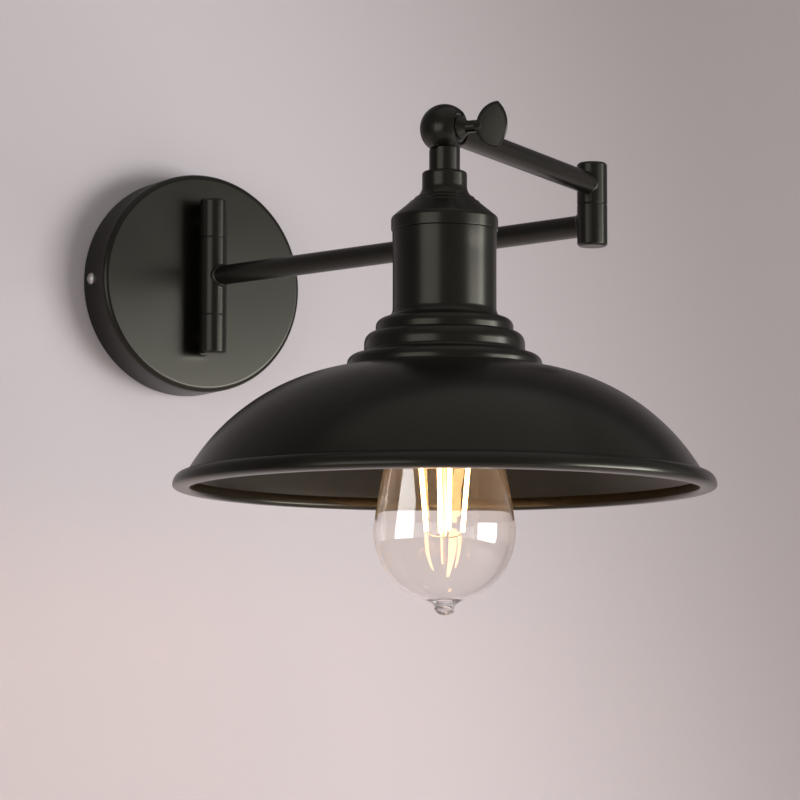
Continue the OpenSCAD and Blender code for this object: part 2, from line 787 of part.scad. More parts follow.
module stem_nipple() {
    color(dark_steel) at_ball() translate([0, 0, nipple_low])
        tube(nipple_out_r, nipple_in_r, cap_top + nipple_engage - nipple_low);
}

module stem_nut() {
    color(zinc) at_ball() translate([0, 0, cap_top - housing_wall - stem_nut_h])
        hex_nut(stem_nut_flats, nipple_out_r + fixed_fit, stem_nut_h);
}

// The cap's outline at depth d inside its outer face
function cap_line(d) = concat(
    [[nipple_out_r + 0.1, cap_top - d]],
    arc([collar_r - collar_edge, cap_top - collar_edge], (collar_edge - d) * [1, 1], 90, 0, 4),
    arc([collar_r + flare_r, collar_low], (flare_r + d) * [1, 1], 180, 270 - cap_slope, 6),
    arc([shoulder_r - shoulder_round, shoulder_z], (shoulder_round - d) * [1, 1],
        90 - cap_slope, 0, 5)
);

module holder_cap() {
    outline = concat(
        cap_line(0),
        [[shoulder_r, cap_low + groove], [shoulder_r - groove, cap_low]],
        [[shoulder_r - housing_wall, cap_low]],
        reverse(cap_line(housing_wall))
    );
    color(black) at_ball() rotate_extrude() polygon(outline);
}

// The cup's outline at depth d inside its outer face
function cup_line(d) = concat(
    [[shoulder_r - d, cup_top - groove], [shoulder_r - d, cup_top - cup_band_h]],
    [for (i = [1:6])
        let (t = i / 6)
        [shoulder_r - d + (cup_r - shoulder_r) * (1 - pow(1 - t, 2)),
         cup_top - cup_band_h - cup_taper_h * t]],
    arc([foot_r, cup_low + foot_t + foot_flare_h], [foot_r - cup_r + d, foot_flare_h + d],
        180, 270, 8)
);

module holder_cup() {
    outline = concat(
        [[shoulder_r - groove, cup_top]],
        cup_line(0),
        [[foot_r, cup_low]],
        [for (p = reverse(cup_line(housing_wall))) [p[0], max(p[1], cup_low)]],
        [[shoulder_r - housing_wall, cup_top]]
    );
    color(black) at_ball() rotate_extrude() polygon(outline);
}

module lampholder_body() {
    waist_r = skirt_r - 3.5;
    waist_z = floor_z + 6;
    outline = [
        [nipple_out_r + fixed_fit, holder_top], [waist_r - 1.5, holder_top],
        [waist_r, holder_top - 1.5], [waist_r, waist_z], [skirt_r, waist_z - 4],
        [skirt_r, cup_low + flange_t], [flange_r, cup_low + flange_t], [flange_r, cup_low],
        [skirt_r, cup_low], [skirt_r, holder_low + 1], [skirt_r - 1, holder_low],
        [mouth_r, holder_low], [mouth_r, mouth_z], [socket_r, mouth_z], [socket_r, floor_z],
        [0, floor_z], [0, floor_z + floor_t],
        [chamber_r, floor_z + floor_t], [chamber_r, holder_top - holder_wall],
        [nipple_out_r + fixed_fit, holder_top - holder_wall]
    ];
    color(phenolic) at_ball() difference() {
        rotate_extrude() polygon(outline);
        translate([0, 0, floor_z - cut]) cylinder(r = 1.5 + fixed_fit, h = floor_t + 2 * cut);
    }
}

module lampholder_shell() {
    top = floor_z - 0.5;
    color(brass) at_ball() translate([0, 0, mouth_z])
        tube(shell_r + shell_t, shell_r, top - mouth_z);
}

module lampholder_contact() {
    color(brass) at_ball() {
        translate([0, 0, contact_z]) cylinder(r = 4, h = floor_z - contact_z);
        translate([0, 0, contact_z]) cylinder(r = 1.5, h = floor_z - contact_z + floor_t + 0.8);
    }
}

module lampholder_terminals() {
    color(brass) at_ball() for (s = [-1, 1])
        translate([s * terminal_off, 0, terminal_z]) difference() {
            translate([-terminal_size[0] / 2, -terminal_size[1] / 2, 0]) cube(terminal_size);
            translate([0, lead_off, terminal_size[2] - lead_grip])
                cylinder(r = lead_r + 0.1, h = lead_grip + cut);
            translate([0, -terminal_size[1], terminal_size[2] - lead_grip / 2]) along_y()
                cylinder(r = terminal_screw_r + fixed_fit, h = terminal_size[1]);
        }
}

module lampholder_screws() {
    head_y = -terminal_size[1] / 2;
    screw_l = lead_off - lead_r - 0.1 - head_y;
    color(zinc) at_ball() for (s = [-1, 1])
        translate([s * terminal_off, head_y, terminal_z + terminal_size[2] - lead_grip / 2])
            rotate([90, 0, 0])
                domed_screw(2 * terminal_screw_r, screw_l, 4 * terminal_screw_r, terminal_screw_r);
}

module head_leads() {
    x = nipple_in_r - lead_r - 0.1;
    grip_z = terminal_z + terminal_size[2];
    color(phenolic) at_ball() for (s = [-1, 1])
        wire(concat(
            [[s * x, 0, cap_top + nipple_engage - 1]],
            bend([s * x, 0, nipple_low - 0.5], [s * x, 0, nipple_low - 4],
                [s * terminal_off, lead_off, grip_z + 5], [s * terminal_off, lead_off, grip_z]),
            [[s * terminal_off, lead_off, grip_z - lead_grip + 0.2]]
        ), lead_r);
}

// The shade's outline at depth d inside its outer face
function shade_line(d) = concat(
    [[shade_hole_r, shade_top - d]],
    arc([neck_1_r - shoulder_1[0], shade_top - shoulder_1[1]], shoulder_1 - [d, d], 90, 0, 7),
    [[neck_1_r - d, neck_1_z - d]],
    arc([neck_2_r - shoulder_2[0], neck_1_z - shoulder_2[1]], shoulder_2 - [d, d], 90, 0, 7),
    arc([neck_2_r + neck_flare, neck_2_z + neck_flare], (neck_flare + d) * [1, 1], 180, 270, 5),
    arc([neck_3_r - shoulder_3[0], neck_2_z - shoulder_3[1]], shoulder_3 - [d, d], 90, 0, 7),
    [[neck_3_r - d, neck_3_z + 0.8 - d], [neck_3_r + 0.2 - d, neck_3_z + 0.2 - d]],
    arc(dome_c, (dome_r - d) * [1, 1], 90 - dome_top_slope, 90 - dome_edge_slope, 26)
);

module shade() {
    bead_in = lip_c[0] - lip_fold / 3;
    outline = concat(
        shade_line(0),
        arc(lip_c, [lip_bead, lip_top_h], 80, 0, 8),
        arc(lip_c, [lip_bead, lip_low_h], -15, -90, 6),
        arc([bead_in, lip_c[1] - lip_low_h + lip_fold / 2], lip_fold / 2 * [1, 1], 270, 180, 4),
        arc([bead_in, lip_c[1]], [lip_fold / 2, lip_top_h - shade_wall - 0.4], 180, 115, 5),
        reverse(shade_line(shade_wall))
    );
    color(black) at_ball() rotate_extrude() polygon(outline);
}

module shade_ring() {
    notches = 12;
    ring_r = ring_d / 2;
    top = shade_top - shade_wall;
    color(phenolic) at_ball() difference() {
        translate([0, 0, top - ring_h]) tube(ring_r, skirt_r + run_fit, ring_h);
        for (i = [0:notches - 1])
            rotate([0, 0, i * 360 / notches]) translate([ring_r + 0.6, 0, top - ring_h - cut])
                cylinder(r = 1.6, h = ring_h - 1);
    }
}

// The bulb

// The rounded thread of the bulb's cap at depth d inside its outer face
function cap_thread(d) = [
    for (i = [0:36])
        let (t = i / 36, z = cap_top_z - 1.5 - t * (bulb_cap_h - 5))
        [cap_r - d - thread_depth / 2 * (1 - cos(360 * t * (bulb_cap_h - 5) / thread_pitch)), z]
];

module bulb_cap() {
    crown_r = cap_r - thread_depth - 1.2;
    outline = concat(
        [[crown_r - 1, cap_top_z], [crown_r, cap_top_z - 0.2]],
        cap_thread(0),
        [[cap_r, cap_low_z], [cap_r - cap_sheet, cap_low_z]],
        reverse(cap_thread(cap_sheet)),
        [[crown_r - 0.3, cap_top_z - 0.5], [crown_r - 1, cap_top_z - 0.3]]
    );
    color(zinc) at_ball() rotate_extrude() polygon(outline);
}

module bulb_insulator() {
    crown_r = cap_r - thread_depth - 2.2;
    color(phenolic) at_ball() translate([0, 0, cap_top_z])
        rotate_extrude() polygon([
            [0, -0.3], [crown_r - 0.05, -0.3], [crown_r - 0.05, 0.4], [5, insulator_h],
            [0, insulator_h]
        ]);
}

module bulb_contact() {
    color(zinc) at_ball() translate([0, 0, bulb_top - tip_h]) rotate_extrude() polygon(concat(
        [[0, 0], [4.7, 0]],
        arc([0, 0], [4.7, tip_h], 10, 90, 6)
    ));
}

// The glass outline at depth d inside its outer face, from the neck down
function glass_line(d) = concat(
    [[glass_neck_r - d, cap_low_z + 4], [glass_neck_r - d, throat_z + throat_round - d]],
    arc([glass_throat_r - throat_round, throat_z], (throat_round - d) * [1, 1], 90, 0, 4),
    [for (i = [1:12])
        let (t = i / 12,
             low_r = glass_r * cos(taper_angle), low_z = glass_c + glass_r * sin(taper_angle),
             bulge = 1.6 * sin(180 * t))
        [glass_throat_r + t * (low_r - glass_throat_r) + bulge - d,
         throat_z + t * (low_z - throat_z)]],
    arc([0, glass_c], (glass_r - d) * [1, 1], taper_angle - 4, -80, 26)
);

module bulb_glass() {
    outline = concat(
        glass_line(0),
        arc([exhaust_r + 1.9, glass_low + exhaust_h - 1.6], [1.7, 1.3], 90, 180, 4),
        arc([0, glass_low + exhaust_r], exhaust_r * [1, 1], 15, -90, 8),
        [[0, glass_c - glass_r + glass_wall]],
        reverse(glass_line(glass_wall))
    );
    color("#dfe6e8", 0.35) at_ball() rotate_extrude() polygon(outline);
}

module bulb_mount() {
    flare_r = glass_neck_r - glass_wall - 0.15;
    low = stick_top_z + 4;
    color("#dfe6e8", 0.5) at_ball() rotate_extrude() polygon(concat(
        [[0, cap_low_z + 4], [flare_r, cap_low_z + 4]],
        arc([flare_r, cap_low_z - 8], [flare_r - mount_r, 11], 90, 180, 8),
        arc([0, low + mount_r], mount_r * [1, 1], 0, -90, 6)
    ));
}

module bulb_wires() {
    low = stick_top_z + 4;
    centre_low = stick_low_z - 2.5;
    color(zinc) at_ball() {
        for (i = [0:3]) rotate([0, 0, filament_turn + i * 90]) {
            wire([
                [mount_r + wire_r, 0, low + 4],
                [mount_r + wire_r + 0.6, 0, low + 2],
                [stick_top_r - 3, 0, stick_top_z + 1.8],
                [stick_top_r + 0.1, 0, stick_top_z + 0.15]
            ], wire_r, 6);
            wire([
                [stick_low_r - 0.1, 0, stick_low_z - 0.15],
                [stick_low_r - 2, 0, centre_low + 0.4],
                [wire_r * 3, 0, centre_low]
            ], wire_r, 6);
        }
        translate([0, 0, centre_low - 0.5])
            cylinder(r = wire_r * 2.8, h = low - centre_low + 0.5);
    }
}

module bulb_filaments() {
    color("#ffd27a") at_ball() for (i = [0:3])
        rotate([0, 0, filament_turn + i * 90]) translate([stick_low_r, 0, stick_low_z])
            rotate([0, stick_tilt, 0]) cylinder(r = filament_d / 2, h = filament_l);
}

// The thumb screw: its wing is the overlap of two discs
module wing_outline() {
    half = wing_h / 2;
    outer_bulge = wing_l - half;
    outer_r = (half * half + outer_bulge * outer_bulge) / (2 * outer_bulge);
    intersection() {
        translate([half, 0]) circle(r = half);
        translate([wing_l - outer_r, 0]) circle(r = outer_r);
    }
}

module thumb_screw() {
    neck_r = clamp_neck_d / 2;
    thread_r = clamp_screw_d / 2;
    tip = split_gap / 2 + clamp_hole_depth - 1;
    root = wing_start + wing_l * 0.35;
    color(black) at_ball() union() {
        along_y() rotate_extrude() polygon([
            [0, -tip], [thread_r - 0.5, -tip], [thread_r, -tip + 0.5], [thread_r, collar_start],
            [clamp_collar_d / 2, collar_start], [clamp_collar_d / 2, collar_start + 0.8],
            [neck_r, collar_start + collar_h_screw], [neck_r, wing_start + 0.5],
            [wing_t / 2 - 0.3, root], [0, root]
        ]);
        translate([-wing_t / 2, wing_start, 0]) rotate([90, 0, 90])
            linear_extrude(height = wing_t) wing_outline();
    }
}

canopy_cover();
wall_bracket();
canopy_side_screws();
earth_screw();
terminal_block();
terminal_sleeves();
terminal_screws();
upper_post();
lower_post();
post_nipples();
post_washers();
post_nuts();
upper_knuckle();
lower_knuckle();
wall_pivot_pin();
pivot_washers();
canopy_leads();
arm_1_sleeve();
arm_1_tube();
elbow_lower_knuckle();
elbow_pin();
elbow_clip();
elbow_washer();
arm_1_leads();
elbow_upper_knuckle();
elbow_top_plug();
arm_2_tube();
ball_arm_half();
arm_2_leads();
ball_head_half();
clamp_washer();
head_stem();
stem_nipple();
stem_nut();
holder_cap();
holder_cup();
lampholder_body();
lampholder_shell();
lampholder_contact();
lampholder_terminals();
lampholder_screws();
head_leads();
shade();
shade_ring();
bulb_cap();
bulb_insulator();
bulb_contact();
bulb_glass();
bulb_mount();
bulb_wires();
bulb_filaments();
thumb_screw();
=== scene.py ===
"""Looks for a swing arm wall lamp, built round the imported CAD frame.

Each shape is made in millimetres in the frame of the part that carries it. It goes
to metres in the shared frame when its object is made.
"""
import json
import math

import bmesh
import bpy
from mathutils import Matrix, Vector

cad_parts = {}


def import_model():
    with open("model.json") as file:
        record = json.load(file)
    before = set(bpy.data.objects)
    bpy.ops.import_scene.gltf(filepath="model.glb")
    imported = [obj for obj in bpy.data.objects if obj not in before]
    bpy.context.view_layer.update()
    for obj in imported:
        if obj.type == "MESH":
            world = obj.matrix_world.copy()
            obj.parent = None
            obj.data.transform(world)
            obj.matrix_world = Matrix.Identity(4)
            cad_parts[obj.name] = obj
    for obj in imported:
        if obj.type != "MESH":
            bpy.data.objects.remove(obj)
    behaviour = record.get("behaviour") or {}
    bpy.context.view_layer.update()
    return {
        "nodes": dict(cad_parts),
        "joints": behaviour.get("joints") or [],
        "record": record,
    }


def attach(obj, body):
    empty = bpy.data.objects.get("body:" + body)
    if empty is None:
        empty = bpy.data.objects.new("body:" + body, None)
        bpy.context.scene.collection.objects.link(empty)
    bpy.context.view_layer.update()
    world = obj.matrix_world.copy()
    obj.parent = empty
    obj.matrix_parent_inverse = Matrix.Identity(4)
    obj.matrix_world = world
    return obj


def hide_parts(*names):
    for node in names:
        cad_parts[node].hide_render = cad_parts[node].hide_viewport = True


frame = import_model()

MM = 0.001
TURN, QUARTER_TURN = 2 * math.pi, math.pi / 2
UP = Vector((0, 0, 1))
ON_AXIS, WELD = 1e-6, 1e-7


# Frames of the parts, in millimetres


def axes(origin, x, z):
    """A frame at a point, from the directions of its X and Z axes."""
    x, z = Vector(x).normalized(), Vector(z).normalized()
    turn = Matrix((x, z.cross(x), z)).transposed().to_4x4()
    return Matrix.Translation(origin) @ turn


def level(vector):
    """The level part of a vector."""
    return Vector((vector[0], vector[1], 0))


JOINTS = {joint["name"]: joint for joint in frame["joints"]}
PIVOT = Vector(JOINTS["wall_swing"]["pos_m"]) / MM
ELBOW = Vector(JOINTS["elbow_swing"]["pos_m"]) / MM
BALL = Vector(JOINTS["head_tilt"]["pos_m"]) / MM
ARM_1_L = level(ELBOW - PIVOT).length
ARM_2_L = level(BALL - ELBOW).length

CANOPY = axes((0, 0, 0), (1, 0, 0), (0, -1, 0))
ARM_1 = axes(PIVOT, level(ELBOW - PIVOT), UP)
ARM_2 = axes((ELBOW.x, ELBOW.y, BALL.z), level(BALL - ELBOW), UP)
HEAD = axes(BALL, level(BALL - ELBOW), UP)
CLAMP = axes(BALL, UP, JOINTS["head_tilt"]["axis"])

# Sizes that several pieces share: radii R, heights H, lengths L and thicknesses T
CANOPY_R, CANOPY_H, CANOPY_T = 60, 26, 1.2
KNUCKLE_R, KNUCKLE_H, SLEEVE_HALF = 7.5, 21, 21
PIN_R, NIPPLE_R, POST_R = 4, 4, 5
TUBE_R, TUBE_BORE_R = 5.5, 4.5
BALL_R, HEAD_BORE_R = 11.25, 5.02
SPUN_T = 1

# Levels from the ball's centre: the cap's top and low edge, and the shade's top
CAP_TOP, CAP_LOW, SHADE_TOP = -19.7, -46.85, -86.75

# Gaps: between knuckles, in fixed and turning fits, at coped ends, in the split ball
SEAM, FIXED_GAP, TURNING_GAP, SEAT, BALL_GAP = 0.5, 0.02, 0.05, 0.05, 0.04
SEAM_ROUND = 0.25
POST_Z = SLEEVE_HALF + SEAM + KNUCKLE_H / 2


# Outlines of turned parts: points (r, z)


def arc(centre, radii, start, end, steps):
    """Points on an arc of an ellipse, from one angle in degrees to another."""
    angles = [math.radians(start + (end - start) * i / steps) for i in range(steps + 1)]
    return [(centre[0] + radii[0] * math.cos(a), centre[1] + radii[1] * math.sin(a))
            for a in angles]


def corner(before, here, after, radius, steps=4):
    """Points that round a corner of an outline to a radius."""
    a = (Vector(before[:2]) - Vector(here[:2])).normalized()
    b = (Vector(after[:2]) - Vector(here[:2])).normalized()
    half = math.acos(max(-1, min(1, a.dot(b)))) / 2
    reach = radius / math.tan(half)
    centre = Vector(here[:2]) + (a + b).normalized() * (radius / math.sin(half))
    u = Vector(here[:2]) + a * reach - centre
    w = Vector(here[:2]) + b * reach - centre
    total = math.pi - 2 * half
    return [tuple(centre + (math.sin((1 - t) * total) * u + math.sin(t * total) * w)
                  / math.sin(total)) for t in (i / steps for i in range(steps + 1))]


def rounded(points):
    """A closed outline in which each corner with a third number is rounded by it."""
    out = []
    for i, p in enumerate(points):
        if len(p) > 2:
            out += corner(points[i - 1], p, points[(i + 1) % len(points)], p[2])
        else:
            out.append(tuple(p))
    return out


# Shapes: a list of points and a list of faces


def lathe(outline, turns, radius_at=None):
    """A closed outline turned round Z. radius_at(r, z, angle) may change a radius."""
    points, rows = [], []
    for r, z in outline:
        first = len(points)
        if r < ON_AXIS:
            points.append((0, 0, z))
            rows.append([first] * turns)
            continue
        for k in range(turns):
            a = TURN * k / turns
            reach = radius_at(r, z, a) if radius_at else r
            points.append((reach * math.cos(a), reach * math.sin(a), z))
        rows.append(list(range(first, first + turns)))
    faces = []
    for i, a in enumerate(rows):
        b = rows[(i + 1) % len(rows)]
        for k in range(turns):
            m = (k + 1) % turns
            face = list(dict.fromkeys((a[k], a[m], b[m], b[k])))
            if len(face) > 2:
                faces.append(face)
    return points, faces


def rows_along_x(rows, turns=96):
    """A closed shape round X from rows (radius, x). An x may be a function of y and z."""
    points, faces = [], []
    for radius, x in rows:
        for k in range(turns):
            a = TURN * k / turns
            y, z = radius * math.cos(a), radius * math.sin(a)
            points.append((x(y, z) if callable(x) else x, y, z))
    count = len(rows)
    for i in range(count):
        for k in range(turns):
            m, j = (k + 1) % turns, (i + 1) % count
            faces.append((i * turns + k, i * turns + m, j * turns + m, j * turns + k))
    return points, faces


def sweep(path, radius, sides):
    """A round wire along a path, closed at both ends."""
    points, faces, side = [], [], None
    last = len(path) - 1
    for i, p in enumerate(path):
        along = (Vector(path[min(i + 1, last)]) - Vector(path[max(i - 1, 0)])).normalized()
        side = along.orthogonal() if side is None else side
        side = (side - along * side.dot(along)).normalized()
        other = along.cross(side)
        for k in range(sides):
            a = TURN * k / sides
            points.append(Vector(p) + radius * (math.cos(a) * side + math.sin(a) * other))
    for i in range(last):
        for k in range(sides):
            m = (k + 1) % sides
            faces.append((i * sides + k, i * sides + m, (i + 1) * sides + m,
                          (i + 1) * sides + k))
    faces.append(tuple(range(sides - 1, -1, -1)))
    faces.append(tuple(range(last * sides, (last + 1) * sides)))
    return points, faces


def rod(radius, low, high):
    """A plain rod round Z."""
    return lathe([(0, low), (radius, low), (radius, high), (0, high)], 48)


def moved(shape, matrix):
    """A shape in another place."""
    return [matrix @ Vector(p) for p in shape[0]], shape[1]


def joined(*shapes):
    """Several shapes as one."""
    points, faces = [], []
    for more, cells in shapes:
        first = len(points)
        points += list(more)
        faces += [tuple(first + i for i in cell) for cell in cells]
    return points, faces


def bend(a, b, c, d, steps=18):
    """Points of a smooth bend from a to d, leaving toward b and arriving from c."""
    a, b, c, d = (Vector(p) for p in (a, b, c, d))
    return [(1 - t) ** 3 * a + 3 * (1 - t) ** 2 * t * b + 3 * (1 - t) * t * t * c + t ** 3 * d
            for t in (i / steps for i in range(steps + 1))]


# Objects


def added(name, data):
    """A new object of the scene, from a mesh, a lamp or a camera."""
    thing = bpy.data.objects.new(name, data)
    bpy.context.scene.collection.objects.link(thing)
    return thing


def object_of(name, shape, place):
    """An object from a shape in a part's frame, with its faces turned outward."""
    points, faces = shape
    mesh = bpy.data.meshes.new(name)
    mesh.from_pydata([place @ Vector(p) * MM for p in points], [], faces)
    work = bmesh.new()
    work.from_mesh(mesh)
    bmesh.ops.remove_doubles(work, verts=work.verts, dist=WELD)
    bmesh.ops.recalc_face_normals(work, faces=work.faces)
    work.to_mesh(mesh)
    work.free()
    return added(name, mesh)


def settle(thing):
    """Applies an object's modifiers to its mesh."""
    graph = bpy.context.evaluated_depsgraph_get()
    graph.update()
    mesh = bpy.data.meshes.new_from_object(thing.evaluated_get(graph))
    thing.modifiers.clear()
    thing.data = mesh


def carve(thing, shape, place):
    """Cuts a shape out of an object."""
    tool = object_of("tool", shape, place)
    cut = thing.modifiers.new("Cut", "BOOLEAN")
    cut.operation, cut.solver, cut.object = "DIFFERENCE", "EXACT", tool
    settle(thing)
    bpy.data.objects.remove(tool)


def smooth(thing, sharp=38):
    """Smooth shading that keeps flats flat and edges over an angle sharp."""
    thing.data.shade_smooth()
    thing.data.set_sharp_from_angle(angle=math.radians(sharp))
    weights = thing.modifiers.new("Normals", "WEIGHTED_NORMAL")
    weights.keep_sharp = True


def piece(name, shape, place, body, slot, *nodes, holes=None):
    """A finished piece of the lamp that rides on a body and stands for CAD nodes."""
    thing = object_of(name, shape, place)
    if holes:
        carve(thing, *holes)
    smooth(thing)
    thing.data.materials.clear()
    thing.data.materials.append(MATERIALS[slot])
    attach(thing, body)
    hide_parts(*nodes)


# Nodes of materials


# The part of a noise value's range that is put to use
NOISE_SPAN = (0.2, 0.8)
GRAIN_DEPTH = 0.00005


def grey(value, warm=0.0):
    """A grey, a little redder and less blue by a share."""
    return (value * (1 + warm), value, value * (1 - warm))


def shader(name, **values):
    """A material with one Principled shader, its plain numbers set on the sockets."""
    material = bpy.data.materials.new(name)
    material.use_nodes = True
    inputs = material.node_tree.nodes["Principled BSDF"].inputs
    for key, value in values.items():
        socket = inputs[key.replace("_", " ").title().replace("Ior", "IOR")]
        socket.default_value = value
    return material


def noise(tree, scale, detail):
    """Noise in the object's own coordinates, in features per metre."""
    where = tree.nodes.new("ShaderNodeTexCoord")
    texture = tree.nodes.new("ShaderNodeTexNoise")
    texture.inputs["Scale"].default_value = scale
    texture.inputs["Detail"].default_value = detail
    tree.links.new(where.outputs["Object"], texture.inputs["Vector"])
    return texture.outputs["Fac"]


def mapped(tree, value, old_range, new_range, easing="LINEAR"):
    """A value that goes over a new range while another goes over its old one."""
    node = tree.nodes.new("ShaderNodeMapRange")
    node.interpolation_type = easing
    keys = ("From Min", "From Max", "To Min", "To Max")
    for key, number in zip(keys, (*old_range, *new_range)):
        node.inputs[key].default_value = number
    tree.links.new(value, node.inputs["Value"])
    return node.outputs["Result"]


def colours(tree, value, *stops):
    """A colour from a value, by stops (position, colour)."""
    ramp = tree.nodes.new("ShaderNodeValToRGB")
    elements = ramp.color_ramp.elements
    elements[0].position, elements[1].position = stops[0][0], stops[-1][0]
    for element, (_, colour) in zip(elements, stops):
        element.color = (*colour, 1)
    tree.links.new(value, ramp.inputs["Fac"])
    return ramp.outputs["Color"]


def relief(tree, height, strength, depth):
    """A bump from a height value, with its depth in metres."""
    bump = tree.nodes.new("ShaderNodeBump")
    bump.inputs["Strength"].default_value = strength
    bump.inputs["Distance"].default_value = depth
    tree.links.new(height, bump.inputs["Height"])
    return bump.outputs["Normal"]


def see_through(tree, colour=(1, 1, 1, 1)):
    """A shader that lets light pass straight on."""
    clear = tree.nodes.new("ShaderNodeBsdfTransparent")
    clear.inputs["Color"].default_value = colour
    return clear.outputs["BSDF"]


def mixed(tree, factor, first, second):
    """A shader that is the first at factor 0 and the second at factor 1."""
    mix = tree.nodes.new("ShaderNodeMixShader")
    tree.links.new(factor, mix.inputs["Fac"])
    tree.links.new(first, mix.inputs[1])
    tree.links.new(second, mix.inputs[2])
    return mix.outputs["Shader"]


def detailed(name, tones, rough, tone_scale, grain_scale, grain, **values):
    """A material whose tone, roughness and relief vary over its surface."""
    material = shader(name, **values)
    tree = material.node_tree
    inputs = tree.nodes["Principled BSDF"].inputs
    cloud = noise(tree, tone_scale, detail=1.5)
    fine = noise(tree, grain_scale, detail=2.0)
    tree.links.new(colours(tree, cloud, *zip(NOISE_SPAN, tones)), inputs["Base Color"])
    tree.links.new(mapped(tree, cloud, NOISE_SPAN, rough), inputs["Roughness"])
    tree.links.new(relief(tree, fine, grain, GRAIN_DEPTH), inputs["Normal"])
    return material


# Materials


def black_paint():
    """Satin black powder coat: a fine orange peel over a softly clouded black."""
    return detailed("black_paint", ((0.0036, 0.0034, 0.0027), (0.0052, 0.0049, 0.0040)),
                    rough=(0.25, 0.28), tone_scale=25, grain_scale=600, grain=0.05,
                    Specular_IOR_Level=0.5, Specular_Tint=(1.0, 0.965, 0.81, 1))


def zinc_plate():
    """Bright zinc plating."""
    return detailed("zinc_plate", (grey(0.70, 0.02), grey(0.82, 0.03)), rough=(0.28, 0.40),
                    tone_scale=250, grain_scale=1500, grain=0.15, Metallic=1.0)


def dark_steel():
    """Dull dark steel."""
    return detailed("dark_steel", (grey(0.16), grey(0.24)), rough=(0.30, 0.42),
                    tone_scale=250, grain_scale=1500, grain=0.15, Metallic=1.0)


def brass():
    """Drawn brass, a little dulled."""
    return detailed("brass", ((0.52, 0.36, 0.15), (0.62, 0.44, 0.20)), rough=(0.22, 0.34),
                    tone_scale=200, grain_scale=1500, grain=0.12, Metallic=1.0)


def phenolic():
    """Moulded black resin."""
    return detailed("phenolic", (grey(0.008), grey(0.013, 0.02)), rough=(0.26, 0.36),
                    tone_scale=120, grain_scale=700, grain=0.12, Specular_IOR_Level=0.5)


def lead_insulation():
    """The dull black sleeve of the leads."""
    return detailed("lead_insulation", (grey(0.012), grey(0.018)), rough=(0.40, 0.52),
                    tone_scale=150, grain_scale=900, grain=0.15, Specular_IOR_Level=0.45)


def black_nylon():
    """Matt black nylon."""
    return detailed("black_nylon", (grey(0.006), grey(0.010)), rough=(0.45, 0.55),
                    tone_scale=150, grain_scale=900, grain=0.1, Specular_IOR_Level=0.4)


def white_plastic():
    """Off-white moulded plastic."""
    return detailed("white_plastic", (grey(0.70, 0.02), grey(0.78, 0.02)), rough=(0.34, 0.44),
                    tone_scale=90, grain_scale=700, grain=0.1, Specular_IOR_Level=0.5)


def nickel_plate():
    """Bright nickel plating."""
    return detailed("nickel_plate", (grey(0.52, 0.03), grey(0.62, 0.03)), rough=(0.16, 0.26),
                    tone_scale=250, grain_scale=1400, grain=0.1, Metallic=1.0)


def black_glass():
    """The glossy black glass that insulates the bulb's contact."""
    return detailed("black_glass", (grey(0.004), grey(0.007, -0.1)), rough=(0.05, 0.12),
                    tone_scale=200, grain_scale=500, grain=0.05, Specular_IOR_Level=0.6)


def clear_glass():
    """Glass that lamps shine through, with a breath of haze that they light up."""
    material = shader("clear_glass", Roughness=0.0, IOR=1.45, Transmission_Weight=1.0,
                      Base_Color=(1, 1, 1, 1))
    tree = material.node_tree
    glass = tree.nodes["Principled BSDF"].outputs["BSDF"]
    haze = tree.nodes.new("ShaderNodeBsdfTranslucent").outputs["BSDF"]
    specks = noise(tree, scale=900, detail=2.0)
    dust = mapped(tree, specks, NOISE_SPAN, (0.0015, 0.0085))
    in_shadow = tree.nodes.new("ShaderNodeLightPath").outputs["Is Shadow Ray"]
    look = mixed(tree, in_shadow, mixed(tree, dust, glass, haze),
                 see_through(tree, (0.95, 0.95, 0.94, 1)))
    tree.links.new(look, tree.nodes["Material Output"].inputs["Surface"])
    return material


def support_wire():
    """Bright drawn wire."""
    return detailed("support_wire", (grey(0.42), grey(0.52)), rough=(0.25, 0.35),
                    tone_scale=400, grain_scale=2000, grain=0.1, Metallic=1.0)


def filament():
    """Lit phosphor on a thin stick, a little mottled."""
    material = shader("filament", Base_Color=(1.0, 0.62, 0.16, 1), Roughness=0.6,
                      Emission_Strength=190.0)
    tree = material.node_tree
    cloud = noise(tree, scale=1500, detail=2.0)
    lit = colours(tree, cloud, (0.3, (1.0, 0.49, 0.18)), (0.7, (1.0, 0.57, 0.24)))
    tree.links.new(lit, tree.nodes["Principled BSDF"].inputs["Emission Color"])
    return material


MATERIALS = {make.__name__: make() for make in (
    black_paint, zinc_plate, dark_steel, brass, phenolic, lead_insulation, black_nylon,
    white_plastic, nickel_plate, black_glass, clear_glass, support_wire, filament)}


# Where parts meet


def coped(y, radius):
    """How far a round surface's axis lies behind it, at a distance to the side."""
    return math.sqrt(max(radius * radius - y * y, 0))


def knuckle_face(y, z):
    """How far a knuckle's face lies from its axis, where a tube or a post meets it."""
    return coped(y, KNUCKLE_R + SEAT)


def ball_face(y, z, own_half):
    """How far from the ball's centre a tube ends, at its own half or clear of the other."""
    clear = 0.5
    return coped(math.hypot(y, z), BALL_R + (SEAT if own_half else clear))


def shifted(x_of, by):
    """The line where a tube ends, moved along the tube."""
    return lambda y, z: x_of(y, z) + by


def bead(outer, x_of, inward=1, width=0.8, length=1.4):
    """Rows of a rounded weld bead, from the surface that it meets to the tube."""
    return [(outer + width * math.sin(a), shifted(x_of, inward * length * math.cos(a)))
            for a in (math.radians(t) for t in range(90, -1, -15))]


# Wall side


